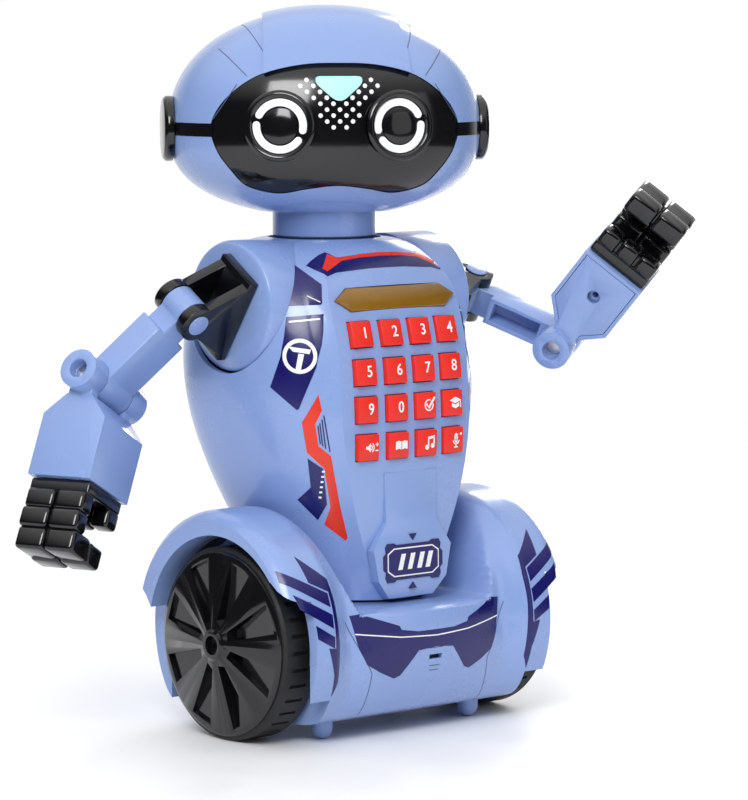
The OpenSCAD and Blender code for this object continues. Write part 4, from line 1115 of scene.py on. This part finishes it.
printed("base_navy", base_skin(0.12), [smile] + both(claw), seen_from(0), "navy_print", "chassis", 30, 62)
smile_line = strip([(-36, 39.3), (-17, 36.8), (0, 36.1), (17, 36.8), (36, 39.3)], 0.45)
printed("base_line", base_skin(0.2), [smile_line], seen_from(0), "white_print", "chassis", 20, 62)
# Thin dark lines round the slot and along the folds of the base front are painted shade.
slot_edge_shade = [strip([(-3.4, 31.4), (3.4, 31.4)], 0.35), strip([(-2.6, 24.4), (2.6, 24.4)], 0.35),
              strip([(-2.2, 22.6), (2.2, 22.6)], 0.35)]
crease_shade = both([strip([(40.2, 44.2), (29.2, 23.9), (30.5, 6)], 0.32)]) + slot_edge_shade
printed("base_crease_shade", base_skin(0.05), crease_shade, seen_from(0), "painted_shade_dark", "chassis", 20, 62)

# %% Painted shade in the crease lines of the helmet
helmet_shade_lines = both([strip([(32, 39.5), (25.5, 26.2)], 0.32), strip([(42.5, 30.5), (33.8, 20.5)], 0.32),
              strip([(37.5, 17.5), (46.2, 4.5)], 0.32)])
printed("helmet_crease_shade", head_skin(0.05), helmet_shade_lines, FACE, "painted_shade_dark", "head", 2, 60)
print("prints done")

# %% [markdown]
# ## Floor, light and camera
#
# The robot stands on a plain pale floor. One wide soft lamp lights it from the upper left, a
# second fills the right side, and a low strip behind gives the helmet and the arms their edges.

# %% Floor and lamps
bpy.ops.mesh.primitive_circle_add(vertices=96, radius=1.0, fill_type="NGON")
ground = bpy.context.object
ground.name = "floor"
surface("floor_paint", (0.90, 0.905, 0.92), 0.5, bump=0.02, vary=0.005, dust=0.0)
ground.data.materials.append(looks["floor_paint"])


def lamp(name, where, size, power, tall=None, aim=(0, 0, 0.14)):
    data = bpy.data.lights.new(name, "AREA")
    data.shape = "RECTANGLE"
    data.size, data.size_y = size, tall or size
    data.energy = power
    piece = bpy.data.objects.new(name, data)
    bpy.context.scene.collection.objects.link(piece)
    piece.location = where
    piece.rotation_euler = (Vector(aim) - Vector(where)).to_track_quat("-Z", "Y").to_euler()
    return piece


lamp("main_softbox", (-1.1, -0.9, 1.1), 0.7, 17)
lamp("front_fill", (0.35, -1.6, 0.5), 1.0, 2.5)
lamp("edge_strip", (1.1, 0.7, 0.5), 0.3, 5, 1.0)
world = bpy.data.worlds.new("studio")
bpy.context.scene.world = world
world.use_nodes = True
tree = world.node_tree
way, facing, wall_light = (tree.nodes.new(kind) for kind in
                           ("ShaderNodeTexCoord", "ShaderNodeVectorMath", "ShaderNodeMapRange"))
facing.operation = "DOT_PRODUCT"
facing.inputs[1].default_value = (0.655, 0.749, 0.0)
for label, value in (("From Min", 0.55), ("From Max", 0.9), ("To Min", 0.04), ("To Max", 1.0)):
    wall_light.inputs[label].default_value = value
height, dome_light, brighter = (tree.nodes.new(kind) for kind in
                                ("ShaderNodeSeparateXYZ", "ShaderNodeMapRange", "ShaderNodeMath"))
for label, value in (("From Min", 0.35), ("From Max", 0.75), ("To Min", 0.04), ("To Max", 1.2)):
    dome_light.inputs[label].default_value = value
brighter.operation = "MAXIMUM"
tree.links.new(way.outputs["Generated"], facing.inputs[0])
tree.links.new(way.outputs["Generated"], height.inputs[0])
tree.links.new(height.outputs["Z"], dome_light.inputs["Value"])
tree.links.new(facing.outputs["Value"], wall_light.inputs["Value"])
tree.links.new(wall_light.outputs["Result"], brighter.inputs[0])
tree.links.new(dome_light.outputs["Result"], brighter.inputs[1])
tree.links.new(brighter.outputs[0], tree.nodes["Background"].inputs["Strength"])
tree.nodes["Background"].inputs["Color"].default_value = (1.0, 1.0, 1.0, 1)

# %% Camera
camera_data = bpy.data.cameras.new("camera")
camera = bpy.data.objects.new("camera", camera_data)
bpy.context.scene.collection.objects.link(camera)
camera_data.lens = 180.8
camera_data.sensor_width = 36
camera_data.clip_end = 50
camera.location = (-0.99507, -1.15638, 0.27528)
looking = Vector((0.65515, 0.74907, -0.09841))
camera.rotation_euler = looking.to_track_quat("-Z", "Y").to_euler()
bpy.context.scene.camera = camera
bpy.context.scene.view_settings.view_transform = "Standard"
